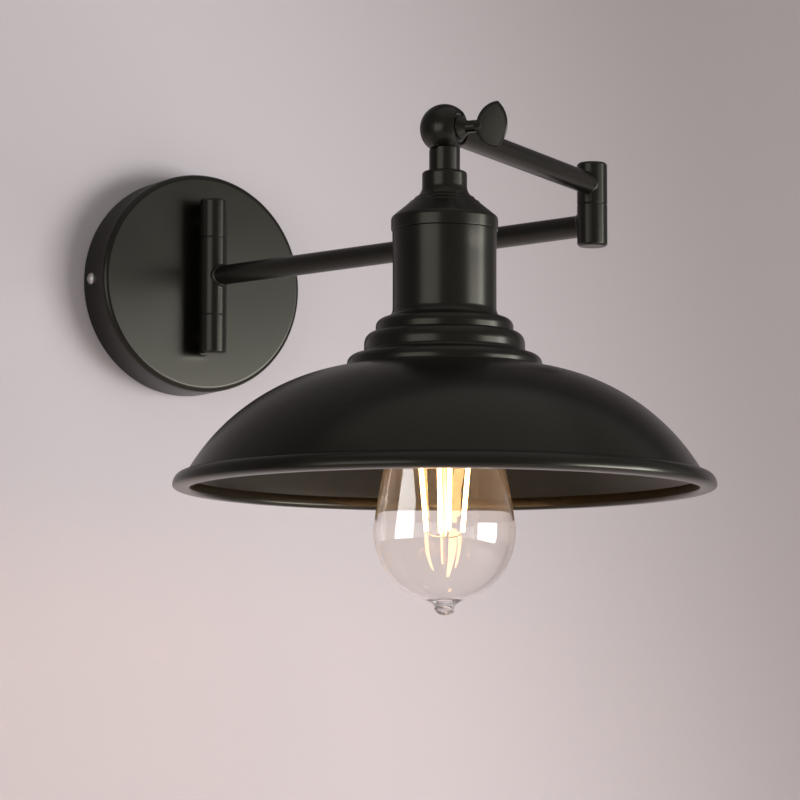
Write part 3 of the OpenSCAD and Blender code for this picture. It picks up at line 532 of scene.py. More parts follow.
def canopy():
    """The cover's pressed sheet, with its post holes and side screw holes."""
    r, h, t, edge_r, rim_round, rim_slope = CANOPY_R, CANOPY_H, CANOPY_T, 3, 0.4, 0.6
    screw_r, screw_z, beyond = 2.25, 10, 10
    outline = ([(0, h)] + arc((r - edge_r, h - edge_r), (edge_r, edge_r), 90, 0, 10)
               + corner((r, h), (r, 0), (r - t, 0), rim_round) + [(r - t, rim_slope)]
               + arc((r - edge_r, h - edge_r), (edge_r - t, edge_r - t), 0, 90, 8)
               + [(0, h - t)])
    post_holes = [moved(rod(NIPPLE_R + FIXED_GAP, h - 6, h + 4),
                        Matrix.Translation((0, PIVOT.z + side * POST_Z, 0)))
                  for side in (1, -1)]
    across = Matrix.Translation((0, 0, screw_z)) @ Matrix.Rotation(QUARTER_TURN, 4, "Y")
    screw_holes = moved(rod(screw_r, -r - beyond, r + beyond), across)
    piece("canopy_cover_skin", lathe(outline, 256), CANOPY, "wall_side", "black_paint",
          "canopy_cover", holes=(joined(*post_holes, screw_holes), CANOPY))


def posts():
    """Two turned posts from the canopy's face to the fixed knuckles."""
    bore, chamfer, plain, gap = NIPPLE_R + FIXED_GAP, 0.2, 1, -PIVOT.y - CANOPY_H

    def end(y, z):
        return gap - knuckle_face(y, z)
    rows = [(bore, 0), (POST_R - chamfer, 0), (POST_R, chamfer), (POST_R, plain),
            (POST_R, end), (bore, end)]
    for side, name in ((1, "upper_post"), (-1, "lower_post")):
        place = axes((0, -CANOPY_H, PIVOT.z + side * POST_Z), (0, -1, 0), UP)
        piece(name + "_turned", rows_along_x(rows), place, "wall_side", "black_paint", name)


def knuckle(height, end_t):
    """A knuckle that stands on z = 0, bored for the pin up to a chamfered closed end."""
    r, bore, chamfer, soft = KNUCKLE_R, PIN_R + FIXED_GAP, 1, 0.55
    depth = height - end_t
    return rounded([
        (bore, 0), (r, 0, SEAM_ROUND), (r, height - chamfer, soft), (r - chamfer, height, soft),
        (0, height), (0, depth), (bore, depth)
    ])


def fixed_knuckles():
    """The knuckles on the posts, above and below the turning sleeve."""
    for side, name in ((1, "upper_knuckle"), (-1, "lower_knuckle")):
        outline = [(r, side * (z + SLEEVE_HALF + SEAM)) for r, z in knuckle(KNUCKLE_H, end_t=5)]
        piece(name + "_turned", lathe(outline, 128), ARM_1, "wall_side", "black_paint", name)


# Lower arm


def arm_1_sleeve():
    """The sleeve that turns on the wall pin."""
    bore = PIN_R + TURNING_GAP
    outline = rounded([(bore, -SLEEVE_HALF), (KNUCKLE_R, -SLEEVE_HALF, SEAM_ROUND),
                       (KNUCKLE_R, SLEEVE_HALF, SEAM_ROUND), (bore, SLEEVE_HALF)])
    piece("arm_1_sleeve_turned", lathe(outline, 128), ARM_1, "lower_arm", "black_paint",
          "arm_1_sleeve")


def arm_1_tube():
    """The tube, with a weld bead where it meets the sleeve and the elbow."""
    past_bead = 12

    def end(y, z):
        return ARM_1_L - knuckle_face(y, z)
    rows = ([(TUBE_BORE_R, knuckle_face)] + bead(TUBE_R, knuckle_face)
            + [(TUBE_R, past_bead), (TUBE_R, ARM_1_L - past_bead)]
            + bead(TUBE_R, end, inward=-1)[::-1] + [(TUBE_BORE_R, end)])
    piece("arm_1_tube_drawn", rows_along_x(rows), ARM_1, "lower_arm", "black_paint",
          "arm_1_tube")


# The elbow: the height of each knuckle, and how far its seam lies above the lower arm's
# axis, which is as far as it lies below the upper arm's
ELBOW_H, ELBOW_SEAM = 20.6, 10
PLUG_R = KNUCKLE_R - 1.6


def elbow_lower_knuckle():
    """The lower arm's knuckle, which hangs from the seam."""
    outline = [(r, ELBOW_SEAM - SEAM / 2 - z) for r, z in knuckle(ELBOW_H, end_t=3)]
    piece("elbow_lower_knuckle_turned", lathe(outline, 128),
          ARM_1 @ Matrix.Translation((ARM_1_L, 0, 0)), "lower_arm", "black_paint",
          "elbow_lower_knuckle")


# Upper arm


def elbow_upper_knuckle():
    """The upper arm's knuckle, which stands on the seam, with a socket for its plug."""
    low, top, r, chamfer = SEAM / 2 - ELBOW_SEAM, ELBOW_H, KNUCKLE_R, 1
    bore, socket_r, socket_z = PIN_R + TURNING_GAP, PLUG_R + FIXED_GAP, ELBOW_H - 5.2
    outline = rounded([
        (bore, 0), (r, 0, SEAM_ROUND), (r, top - chamfer, 0.45), (r - chamfer, top, 0.4),
        (socket_r, top, 0.12), (socket_r, socket_z), (bore, socket_z)
    ])
    piece("elbow_upper_knuckle_turned", lathe([(r, z + low) for r, z in outline], 128),
          ARM_2, "upper_arm", "black_paint", "elbow_upper_knuckle")


def elbow_top_plug():
    """The plug that closes the upper knuckle."""
    top, thickness = ELBOW_H + SEAM / 2 - ELBOW_SEAM, 2
    outline = rounded([(0, top - thickness), (PLUG_R, top - thickness), (PLUG_R, top, 0.15),
                       (0, top)])
    piece("elbow_top_plug_turned", lathe(outline, 128), ARM_2, "upper_arm", "black_paint",
          "elbow_top_plug")


def arm_2_tube():
    """The tube, coped to the elbow and to the two halves of the ball."""
    past_bead, before_ball, own_side = 12, 16, -0.2

    def end(y, z):
        return ARM_2_L - ball_face(y, z, y < own_side)
    rows = ([(TUBE_BORE_R, knuckle_face)]
            + bead(TUBE_R, knuckle_face, width=0.25, length=0.6)
            + [(TUBE_R, past_bead), (TUBE_R, ARM_2_L - before_ball), (TUBE_R, end),
               (TUBE_BORE_R, end)])
    piece("arm_2_tube_drawn", rows_along_x(rows), ARM_2, "upper_arm", "black_paint",
          "arm_2_tube")


# The ball's halves: how far the flat face stops short of the round one, and how many
# degrees from the split the round one starts
FLAT_SHORT, ROUND_FROM = 0.1, 0.8


def ball_arm_half():
    """The half on the arm, with the blind hole for the thumb screw."""
    bore, depth = 2.52, 8.35
    outline = ([(bore, -BALL_GAP), (BALL_R - FLAT_SHORT, -BALL_GAP)]
               + arc((0, 0), (BALL_R, BALL_R), -ROUND_FROM, -90, 40)
               + [(0, -depth), (bore, -depth)])
    piece("ball_arm_half_turned", lathe(outline, 160), CLAMP, "upper_arm", "black_paint",
          "ball_arm_half")


# Head


def ball_head_half():
    """The clamped half, with the round recess for the thumb screw's washer."""
    bore, recess_r, recess_z, rim, rim_drop = 2.58, 7.6, 6.6, 0.3, 0.1
    rim_angle = math.degrees(math.acos((recess_r + rim) / BALL_R))
    rim_z = coped(recess_r, BALL_R) - rim_drop
    outline = ([(bore, BALL_GAP), (BALL_R - FLAT_SHORT, BALL_GAP)]
               + arc((0, 0), (BALL_R, BALL_R), ROUND_FROM, rim_angle, 24)
               + corner((BALL_R, 0), (recess_r, rim_z), (recess_r, 0), 0.2)
               + corner((recess_r, BALL_R), (recess_r, recess_z), (bore, recess_z), 0.3)
               + [(bore, recess_z)])
    piece("ball_head_half_turned", lathe(outline, 160), CLAMP, "head", "black_paint",
          "ball_head_half")


def head_stem():
    """The stem, coped to the two halves of the ball."""
    up = HEAD @ Matrix.Rotation(-QUARTER_TURN, 4, "Y")
    bore, r, ease, plain, own_side = HEAD_BORE_R, 7, 0.3, 6, 0.2

    def top(y, z):
        return -ball_face(y, z, y > own_side)
    rows = [(bore, CAP_TOP), (r - ease, CAP_TOP), (r, CAP_TOP + ease), (r, CAP_TOP + plain),
            (r, shifted(top, -ease)), (r - ease, top), (bore, top)]
    piece("head_stem_turned", rows_along_x(rows, 128), up, "head", "black_paint",
          "head_stem")


# The stepped cap: its slope in degrees, half a rib's width, and for each rib how far
# down the slope it lies and how far it stands out
CAP_SLOPE, RIB_HALF, RIBS = 50.5, 0.7, ((1.2, 0.3), (4.2, 0.22))


def rib_line(start):
    """The outline of the spun ribs on the cap's slope, which begins at a point."""
    slope = math.radians(CAP_SLOPE)
    out = Vector((math.cos(slope), math.sin(slope)))
    down = Vector((math.sin(slope), -math.cos(slope)))
    return [tuple(Vector(start) + (along + RIB_HALF * t) * down
                  + height * math.cos(t * QUARTER_TURN) ** 2 * out)
            for along, height in RIBS for t in (i / 4 - 1 for i in range(9))]


def cap_line(d, ribbed=False):
    """The stepped cap's outer face from its bore down, or at depth d inside it."""
    bore, edge_at, edge_r, flare_r, shoulder_r = 5.1, 8.7, 1.5, 6, 2.5
    flare_at, shoulder_at = (16.2, -26.5), (21.7, -42.05)
    flare = arc(flare_at, (flare_r + d, flare_r + d), 180, 180 + CAP_SLOPE, 12)
    return ([(bore, CAP_TOP - d)]
            + arc((edge_at, CAP_TOP - edge_r), (edge_r - d, edge_r - d), 90, 0, 8)
            + flare + (rib_line(flare[-1]) if ribbed else [])
            + arc(shoulder_at, (shoulder_r - d, shoulder_r - d), CAP_SLOPE, 0, 8))


def holder_cap():
    """The stepped cap, with a softly rounded low edge."""
    r, straight_z, edge_round = 24.2, -42, 0.35
    outline = (cap_line(0, ribbed=True)
               + corner((r, straight_z), (r, CAP_LOW), (r - 1, CAP_LOW), edge_round)
               + [(r - SPUN_T, CAP_LOW)] + cap_line(SPUN_T)[::-1])
    piece("holder_cap_spun", lathe(outline, 192), HEAD, "head", "black_paint", "holder_cap")


# The cup's radius at its top, along its straight stretch and at its foot
CUP_TOP_R, CUP_R, CUP_FOOT_R = 23.65, 23.45, 26.8


def cup_line(d):
    """The cup's outer face from its top edge to its foot, or at depth d inside it."""
    edge, taper_from, taper_l, steps = 0.2, 0.6, 11, 12
    straight_low, flare_h, flat = -74, 4.2, 0.3
    taper = [(CUP_TOP_R - d - (CUP_TOP_R - CUP_R) * t * t * (3 - 2 * t),
              CAP_LOW - taper_from - taper_l * t)
             for t in (i / steps for i in range(steps + 1))]
    foot = arc((CUP_FOOT_R, SHADE_TOP + flat + flare_h),
               (CUP_FOOT_R - CUP_R + d, flare_h + d), 180, 270, 16)
    return [(CUP_TOP_R - d, CAP_LOW - edge)] + taper + [(CUP_R - d, straight_low)] + foot


def holder_cup():
    """The cup, from just under the cap's low edge to its flared foot on the shade."""
    top, edge, edge_t, foot_edge = CAP_LOW - FIXED_GAP, 0.15, 0.7, 0.15
    inner = [(r, max(z, SHADE_TOP)) for r, z in cup_line(SPUN_T)[::-1]]
    outline = ([(CUP_TOP_R - edge, top)] + cup_line(0)
               + [(CUP_FOOT_R + foot_edge, SHADE_TOP + foot_edge), (CUP_FOOT_R, SHADE_TOP)]
               + inner + [(CUP_TOP_R - edge - edge_t, top)])
    piece("holder_cup_spun", lathe(outline, 192), HEAD, "head", "black_paint", "holder_cup")


# The shade's neck: for each step its radius and low level, the round over it (across,
# down) and the fillet under it
NECK = ((31.1, -93.25), (36.3, -103.05), (44, -109.45))
ROUNDS = ((4.3, 4.1), (4.6, 5.4), (5.5, 4.4))
FILLETS = (0.35, 2.2, 0.7)

# The shade's dome, from one angle off straight up to another, its lip and the lip's fold
DOME_C, DOME_R, DOME_FROM, DOME_TO = (31.77, -205.3), 96.76, 7.8, 59.8
LIP_C, LIP_OUT, LIP_UP, LIP_DOWN = (117.2, -162.8), 4.8, 5.6, 2.0
FOLD_IN, FOLD_R, FOLD_UP = 1.2, 1.8, 4.2


def step_round(step, above, d):
    """The round over a step of the neck, under the level above it, at depth d."""
    across, down = ROUNDS[step]
    return arc((NECK[step][0] - across, above - down), (across - d, down - d), 90, 0, 12)


def shade_line(d):
    """The shade's outer face from its hole to the lip, or at depth d inside it."""
    (r1, z1), (r2, z2), (r3, z3) = NECK
    f1, f2, f3 = FILLETS
    hole_r, last_lift = 19.8, 0.75
    return ([(hole_r, SHADE_TOP - d)] + step_round(0, SHADE_TOP, d)
            + [(r1 - d, z1 + f1 - d * 0.6)]
            + arc((r1 + f1, z1 + f1), (f1 + d, f1 + d), 180, 270, 4)[1:]
            + step_round(1, z1, d)
            + arc((r2 + f2, z2 + f2), (f2 + d, f2 + d), 180, 270, 8)
            + step_round(2, z2, d)
            + arc((r3 + f3, z3 + last_lift), (f3 + d, f3 + d), 180, 265, 5)
            + arc(DOME_C, (DOME_R - d, DOME_R - d), 90 - DOME_FROM, 90 - DOME_TO, 48))


def lamp_shade():
    """The spun shade with its stepped neck and rolled lip."""
    fold_r, lip_z = LIP_C[0] - FOLD_IN, LIP_C[1]
    outline = (shade_line(0)
               + arc(LIP_C, (LIP_OUT, LIP_UP), 84, 0, 16)
               + arc(LIP_C, (LIP_OUT, LIP_DOWN), -8, -90, 14)
               + arc((fold_r, lip_z - LIP_DOWN + FOLD_R), (FOLD_R, FOLD_R), 270, 180, 10)
               + arc((fold_r, lip_z), (FOLD_R, FOLD_UP), 180, 115, 8)
               + shade_line(SPUN_T)[::-1])
    piece("shade_spun", lathe(outline, 288), HEAD, "head", "black_paint", "shade")


def shade_ring():
    """The ring that clamps the shade, with twelve finger notches."""
    top, height, ring_r, bore = SHADE_TOP - SPUN_T, 7, 25, 19.55
    notch_r, notch_out, pitch = 1.6, 0.6, 360 / 12
    low, notch_top, run_out = top - height, top - 1, 0.2

    def scalloped(r, z, a):
        if r < (bore + ring_r) / 2 or z > notch_top:
            return r
        off = (math.degrees(a) / pitch + 0.5) % 1 - 0.5
        side = off * math.radians(pitch) * ring_r
        depth = max(0, math.sqrt(max(notch_r ** 2 - side ** 2, 0)) - notch_out)
        return min(r, ring_r - depth)
    outline = rounded([(bore, low), (ring_r, low, 0.5), (ring_r, notch_top - run_out),
                       (ring_r, notch_top + run_out), (ring_r, top, 0.3), (bore, top)])
    piece("shade_ring_moulded", lathe(outline, 360, scalloped), HEAD, "head", "phenolic",
          "shade_ring")


# Levels of the lampholder: its top, the floor over the shell, its mouth and its low end
HOLDER_TOP, HOLDER_FLOOR, HOLDER_MOUTH, HOLDER_LOW = -51.35, -76.85, -105.15, -107.35


def holder_thread(r, low):
    """The skirt's outer thread, as grooves from under the flange to near its low end."""
    pitch, depth, slope, flat, plain = 2.5, 0.55, 0.7, 0.6, 3
    z, points = SHADE_TOP - 1.2, []
    while z > low + plain:
        points += [(r, z), (r - depth, z - slope), (r - depth, z - slope - flat),
                   (r, z - 2 * slope - flat)]
        z -= pitch
    return points


def lampholder_body():
    """The moulded holder: a waist, a flange, a threaded skirt and a wider mouth."""
    top, floor, mouth, low = HOLDER_TOP, HOLDER_FLOOR, HOLDER_MOUTH, HOLDER_LOW
    waist_r, skirt_r, flange_r, flange_h = 16, 19.5, 21.8, 2
    mouth_r, bore, room_r, floor_t, top_t = 14.8, 13.9, 12.5, 3, 2
    outline = (rounded([(HEAD_BORE_R, top), (waist_r, top, 1.5), (waist_r, floor + 6, 1),
                        (skirt_r, floor + 2, 0.8), (skirt_r, SHADE_TOP + flange_h),
                        (flange_r, SHADE_TOP + flange_h, 0.3), (flange_r, SHADE_TOP),
                        (skirt_r, SHADE_TOP)])
               + holder_thread(skirt_r, low)
               + rounded([(skirt_r, low + 2), (skirt_r, low, 0.9), (mouth_r, low, 0.5),
                          (mouth_r, mouth), (bore, mouth), (bore, floor), (0, floor)])[1:]
               + [(0, floor + floor_t), (room_r, floor + floor_t), (room_r, top - top_t),
                  (HEAD_BORE_R, top - top_t)])
    piece("lampholder_body_moulded", lathe(outline, 160), HEAD, "head", "phenolic",
          "lampholder_body")


def lampholder_shell():
    """The drawn shell that takes the bulb's cap."""
    r, bore, top, edge = 13.8, 13.3, HOLDER_FLOOR - 0.55, 0.1
    outline = rounded([(bore, HOLDER_MOUTH, edge), (r, HOLDER_MOUTH, edge), (r, top),
                       (bore, top)])
    piece("lampholder_shell_drawn", lathe(outline, 128), HEAD, "head", "brass",
          "lampholder_shell")


# The bulb's screw cap from top to foot, its crown, and the glass insulator over it
SCREW_TOP, SCREW_FOOT, SCREW_R, SCREW_T = -81.75, -105.35, 13.1, 0.3
CROWN_R, INSULATOR_TOP = SCREW_R - 2.1, SCREW_TOP + 2.3

# The bulb's globe, and the neck that goes into the cap
GLASS_C, GLASS_R, GLASS_T = -182.95, 32, 0.8
GLASS_NECK_R, GLASS_NECK_TOP = 11.75, SCREW_FOOT + 4


def thread_wave(z, angle):
    """The depth of the bulb cap's rolled thread at a height and an angle."""
    pitch, depth, run_out = 3.5, 0.9, 1.5
    start, end = SCREW_TOP - 1.5, SCREW_FOOT + 3.5
    share = min(1, max(0, (start - z) / run_out), max(0, (z - end) / run_out))
    turn = (start - z) / pitch * TURN - angle
    return depth * share * (0.5 - 0.5 * math.cos(turn))


def bulb_cap():
    """The screw cap, with a rolled thread that really climbs."""
    high, low, rows, inner_r = SCREW_TOP - 1.4, SCREW_FOOT + 0.1, 76, SCREW_R - SCREW_T
    levels = [high + (low - high) * i / rows for i in range(rows + 1)]
    outline = ([(CROWN_R - 1, SCREW_TOP), (CROWN_R, SCREW_TOP - 0.2),
                (SCREW_R - 0.5, SCREW_TOP - 1)]
               + [(SCREW_R, z) for z in levels] + [(SCREW_R, SCREW_FOOT), (inner_r, SCREW_FOOT)]
               + [(inner_r, z) for z in levels[::-1]]
               + [(CROWN_R - SCREW_T, SCREW_TOP - 0.6), (CROWN_R - 1, SCREW_TOP - SCREW_T)])

    def threaded(r, z, a):
        return r - thread_wave(z, a) if r > SCREW_R - 0.4 else r
    piece("bulb_cap_rolled", lathe(outline, 96, threaded), HEAD, "head", "nickel_plate",
          "bulb_cap")


def bulb_insulator():
    """The black glass cone in the cap's crown."""
    low, foot_r, edge = SCREW_TOP - SCREW_T, CROWN_R - 1.1, 0.3
    outline = rounded([(0, low), (foot_r, low), (foot_r, SCREW_TOP + 0.4, edge),
                       (5, INSULATOR_TOP, edge), (0, INSULATOR_TOP)])
    piece("bulb_insulator_cast", lathe(outline, 96), HEAD, "head", "black_glass",
          "bulb_insulator")


def bulb_contact():
    """The low dome of solder on the insulator."""
    outline = [(0, INSULATOR_TOP)] + arc((0, INSULATOR_TOP), (4.7, 1.0), 0, 90, 10)
    piece("bulb_contact_soldered", lathe(outline, 96), HEAD, "head", "nickel_plate",
          "bulb_contact")


def glass_line(d):
    """The bulb's outer face from its neck down, or at depth d inside it."""
    throat_r, throat_z, crook, bulge, steps = 14.1, SCREW_FOOT - 1.6, 1.5, 1.6, 24
    join = math.radians(10.7)
    low_r, low_z = GLASS_R * math.cos(join), GLASS_C + GLASS_R * math.sin(join)
    taper = [(throat_r + t * (low_r - throat_r) + bulge * math.sin(math.pi * t) - d,
              throat_z + t * (low_z - throat_z))
             for t in (i / steps for i in range(1, steps))]
    return ([(GLASS_NECK_R - d, GLASS_NECK_TOP), (GLASS_NECK_R - d, throat_z + crook - d)]
            + arc((throat_r - crook, throat_z), (crook - d, crook - d), 90, 0, 8) + taper
            + arc((0, GLASS_C), (GLASS_R - d, GLASS_R - d), 9.7, -76, 60))


def bulb_glass():
    """The blown globe, drawn out below to a waist and a drop that was twisted off."""
    low, waist = GLASS_C - GLASS_R - 5.5, GLASS_C - 33.6
    draw_r, draw_z, draw_in, ripple, steps = 7.74, GLASS_C - 31.05, 3.2, 0.16, 36
    drop_r, drop_h, twist = 4.5, 2.9, 2.2
    cone = [(draw_r - draw_in * t ** 0.7 + ripple * math.sin(4 * TURN * t),
             draw_z + t * (waist - draw_z)) for t in (i / steps for i in range(1, steps + 1))]
    outline = (glass_line(0) + cone + arc((0, low + drop_h), (drop_r, drop_h), 14, -90, 24)
               + [(0, GLASS_C - GLASS_R + GLASS_T)] + glass_line(GLASS_T)[::-1])

    def twisted(r, z, a):
        return r + 0.2 * math.sin(3 * a + twist * z) * min(1, r / 3) if z < waist else r
    piece("bulb_glass_blown", lathe(outline, 192, twisted), HEAD, "head", "clear_glass",
          "bulb_glass")


# The filament sticks: the low end (r, z) of one, their lean outward and the turn of the
# first. Then the glass mount that holds them and their wires
STICK_LOW, STICK_L, STICK_R, STICK_LEAN, STICK_TURN = (8.3, GLASS_C), 37, 1.0, math.radians(5), 38
STICK_TOP = (STICK_LOW[0] + STICK_L * math.sin(STICK_LEAN),
             STICK_LOW[1] + STICK_L * math.cos(STICK_LEAN))
MOUNT_R, MOUNT_LOW, WIRE_R = 2.6, STICK_TOP[1] + 4, 0.3


def quarter(i):
    """The turn that takes the first stick to another one."""
    return Matrix.Rotation(math.radians(STICK_TURN + 90 * i), 4, "Z")


def bulb_mount():
    """The pressed glass mount, flared to the neck and round at its low end."""
    foot, flare_h = GLASS_NECK_R - GLASS_T - 0.15, 11
    outline = ([(0, GLASS_NECK_TOP), (foot, GLASS_NECK_TOP)]
               + arc((foot, SCREW_FOOT - 8), (foot - MOUNT_R, flare_h), 90, 180, 16)
               + arc((0, MOUNT_LOW + MOUNT_R), (MOUNT_R, MOUNT_R), 0, -90, 10))
    piece("bulb_mount_pressed", lathe(outline, 96), HEAD, "head", "clear_glass", "bulb_mount")


def bulb_wires():
    """Support wires from the glass mount to the sticks' ends, and the centre rod."""
    (low_r, low_z), (top_r, top_z) = STICK_LOW, STICK_TOP
    hub, into, rod_r, sides = low_z - 2.5, 0.1, WIRE_R * 2.8, 10
    upper = sweep(bend((MOUNT_R + WIRE_R, 0, MOUNT_LOW + 4), (MOUNT_R + 0.9, 0, MOUNT_LOW + 1),
                       (top_r - 3, 0, top_z + 2.4), (top_r + into, 0, top_z + into)),
                  WIRE_R, sides)
    lower = sweep(bend((low_r - into, 0, low_z - into), (low_r - 2.4, 0, hub - 0.2),
                       (4, 0, hub), (0.9, 0, hub)), WIRE_R, sides)
    shapes = [moved(part, quarter(i)) for i in range(4) for part in (upper, lower)]
    centre = lathe(rounded([(0, hub - 0.5), (rod_r, hub - 0.5, 0.3), (rod_r, MOUNT_LOW),
                            (0, MOUNT_LOW)]), 32)
    piece("bulb_wires_drawn", joined(*shapes, centre), HEAD, "head", "support_wire",
          "bulb_wires")


def bulb_filaments():
    """Four coated sticks that lean outward."""
    r, end = STICK_R, 0.45
    stick = lathe(rounded([(0, 0), (r, 0, end), (r, STICK_L, end), (0, STICK_L)]), 32)
    lean = (Matrix.Translation((STICK_LOW[0], 0, STICK_LOW[1]))
            @ Matrix.Rotation(STICK_LEAN, 4, "Y"))
    sticks = [moved(stick, quarter(i) @ lean) for i in range(4)]
    piece("bulb_filaments_coated", joined(*sticks), HEAD, "head", "filament",
          "bulb_filaments")


# Thumb screw


def wing_rim(start, half, reach):
    """The wing's edge: a half disc toward the neck and a flatter arc at its far end."""
    bulge = reach - half
    outer_r = (half * half + bulge * bulge) / (2 * bulge)
    tip = math.degrees(math.asin(half / outer_r))
    left = arc((start + half, 0), (half, half), 90, 270, 40)
    right = arc((start + reach - outer_r, 0), (outer_r, outer_r), -tip, tip, 32)
    return left[:-1] + right[:-1]


def wing():
    """The cast wing, thin at its rim and fuller inside. Each ring is (share, height)."""
    start, half, reach = 15.8, 10.8, 15.5
    rim, middle = wing_rim(start, half, reach), start + reach * 0.55
    rings = ((1.0, 0.0), (0.985, 0.5), (0.94, 0.85), (0.8, 0.95), (0.5, 1.05), (0.2, 1.1))
    n = len(rim)
    points, faces = [], []
    for side in (1, -1):
        for share, height in rings[0 if side == 1 else 1:]:
            points += [(side * height, middle + (u - middle) * share, v * share)
                       for u, v in rim]
        points.append((side * rings[-1][1], middle, 0))
    upper = [list(range(i * n, (i + 1) * n)) for i in range(len(rings))]
    base = len(rings) * n + 1
    lower = [upper[0]] + [list(range(base + i * n, base + (i + 1) * n))
                          for i in range(len(rings) - 1)]
    for stack, top in ((upper, len(rings) * n), (lower, base + (len(rings) - 1) * n)):
        for a, b in zip(stack, stack[1:]):
            faces += [(a[k], a[(k + 1) % n], b[(k + 1) % n], b[k]) for k in range(n)]
        faces += [(stack[-1][k], stack[-1][(k + 1) % n], top) for k in range(n)]
    return points, faces


def screw_neck():
    """The turned washer face and neck, from the ball to inside the wing."""
    flange_r, neck_r = 5.75, 2.85
    return lathe(rounded([
        (0, 7.5), (flange_r, 7.5, 0.2), (flange_r, 8.4, 0.5), (neck_r, 11.5, 1.5),
        (neck_r, 15.6, 0.9), (1.1, 18.0), (0, 18.0)
    ]), 96)


def screw_shank():
    """The screw's plain shank, with a chamfered end in the arm's half of the ball."""
    r, end, chamfer, top = 2.5, -7.35, 0.5, 7.6
    return lathe([(0, end), (r - chamfer, end), (r, end + chamfer), (r, top), (0, top)], 48)


def thumb_screw():
    """The wing and its neck, melted together as one casting, on the shank."""
    along = Matrix.Rotation(-QUARTER_TURN, 4, "X")
    cast = object_of("cast", joined(wing(), moved(screw_neck(), along)), HEAD)
    melt = cast.modifiers.new("Melt", "REMESH")
    melt.mode, melt.voxel_size = "VOXEL", 0.22 * MM
    ease = cast.modifiers.new("Ease", "SMOOTH")
    ease.factor, ease.iterations = 0.5, 8
    settle(cast)
    shank = object_of("shank", moved(screw_shank(), along), HEAD)
    work = bmesh.new()
    work.from_mesh(cast.data)
    work.from_mesh(shank.data)
    mesh = bpy.data.meshes.new("thumb_screw_cast")
    work.to_mesh(mesh)
    work.free()
    bpy.data.objects.remove(shank)
    cast.data = mesh
    cast.name = "thumb_screw_cast"
    smooth(cast, sharp=50)
    cast.data.materials.append(MATERIALS["black_paint"])
    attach(cast, "clamp_screw")
    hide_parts("thumb_screw")


def cad_nodes():
    """Gives each carried-over CAD node the finish of its slot."""
    for part in frame["record"]["subparts"]:
        node = frame["nodes"][part["node"]]
        node.data.materials.clear()
        node.data.materials.append(MATERIALS[part["material_slot"]])


# Stage, lights and camera, in metres


# The wall's tone, and the darker tone it eases to toward +X and up: painted shade for the lamps'
# falloff over the wall
WALL_TONE, PAINTED_SHADE_WALL_TONE = (0.708, 0.650, 0.668), (0.37, 0.33, 0.333)
FLOOR_TONE = (0.7, 0.65, 0.63)
WALL_HALF, WALL_TOP, FLOOR_Z, FLOOR_DEPTH = 3, 1.35, -0.65, 6
OPENING_R, WALL_BEHIND = 0.05, 0.0006


def toward(tree, direction, distances, values):
    """A value that eases from one number to another over distances in a direction."""
    where = tree.nodes.new("ShaderNodeTexCoord")
    along = tree.nodes.new("ShaderNodeVectorMath")
    along.operation = "DOT_PRODUCT"
    along.inputs[1].default_value = direction
    tree.links.new(where.outputs["Object"], along.inputs[0])
    return mapped(tree, along.outputs["Value"], distances, values, "SMOOTHSTEP")


def painted_reflection_share(tree):
    """1, but in reflections painted shade up high (down to a third) and a little painted light
    low down.
    """
    rays = tree.nodes.new("ShaderNodeLightPath")
    share = tree.nodes.new("ShaderNodeMix")
    share.inputs["A"].default_value = 1
    tree.links.new(rays.outputs["Is Glossy Ray"], share.inputs["Factor"])
    # Painted reflection: glossy rays see the tone darkened up high and brightened a little low
    # down
    tree.links.new(toward(tree, (0.3, 0, -1), (-0.3, 0.4), (0.33, 1.1)), share.inputs["B"])
    return share.outputs["Result"]


def stage_material(name, tone, painted_shade_tone):
    """A pale surface, clear from behind. Toward +X and up its tone eases to a second tone, which
    on the wall is painted shade for the lamps' falloff. In reflections it gets painted shade up
    high and a little painted light low down.
    """
    material = shader(name, Roughness=0.9, Specular_IOR_Level=0.1)
    tree = material.node_tree
    surface = tree.nodes["Principled BSDF"]
    # Painted shade: the tone darkens toward +X and up, in place of the lamps' falloff
    across = toward(tree, (1, 0, 0.35), (0.0, 0.42), (0, 1))
    painted_reflection_tone = tree.nodes.new("ShaderNodeVectorMath")
    painted_reflection_tone.operation = "SCALE"
    tree.links.new(colours(tree, across, (0, tone), (1, painted_shade_tone)), painted_reflection_tone.inputs[0])
    tree.links.new(painted_reflection_share(tree), painted_reflection_tone.inputs["Scale"])
    tree.links.new(painted_reflection_tone.outputs["Vector"], surface.inputs["Base Color"])
    plaster = relief(tree, noise(tree, scale=120, detail=4.0), strength=0.08, depth=0.0005)
    tree.links.new(plaster, surface.inputs["Normal"])
    behind = tree.nodes.new("ShaderNodeNewGeometry").outputs["Backfacing"]
    look = mixed(tree, behind, surface.outputs["BSDF"], see_through(tree))
    tree.links.new(look, tree.nodes["Material Output"].inputs["Surface"])
    return material


def stage_piece(name, points, faces, material):
    """A flat piece of the stage."""
    mesh = bpy.data.meshes.new(name)
    mesh.from_pydata(points, [], faces)
    thing = added(name, mesh)
    mesh.materials.append(material)


def wall():
    """The wall, with an opening behind the canopy, as for a wall box."""
    n, points = 64, []
    for outer in (False, True):
        for k in range(n):
            a = TURN * (k + 0.5) / n
            x, z = math.cos(a), math.sin(a)
            edge = WALL_TOP if z > 0 else -FLOOR_Z
            reach = min(WALL_HALF / abs(x), edge / abs(z)) if outer else OPENING_R
            points.append((reach * x, WALL_BEHIND, reach * z))
    faces = [(n + k, n + (k + 1) % n, (k + 1) % n, k) for k in range(n)]
    stage_piece("wall", points, faces, stage_material("wall_plaster", WALL_TONE, PAINTED_SHADE_WALL_TONE))


def ground():
    """A plain floor, well below the lamp."""
    points = [(x, y, FLOOR_Z) for x, y in (
        (-WALL_HALF, -FLOOR_DEPTH), (WALL_HALF, -FLOOR_DEPTH), (WALL_HALF, 0), (-WALL_HALF, 0))]
    stage_piece("floor", points, [(0, 1, 2, 3)],
                stage_material("floor_plain", FLOOR_TONE, FLOOR_TONE))


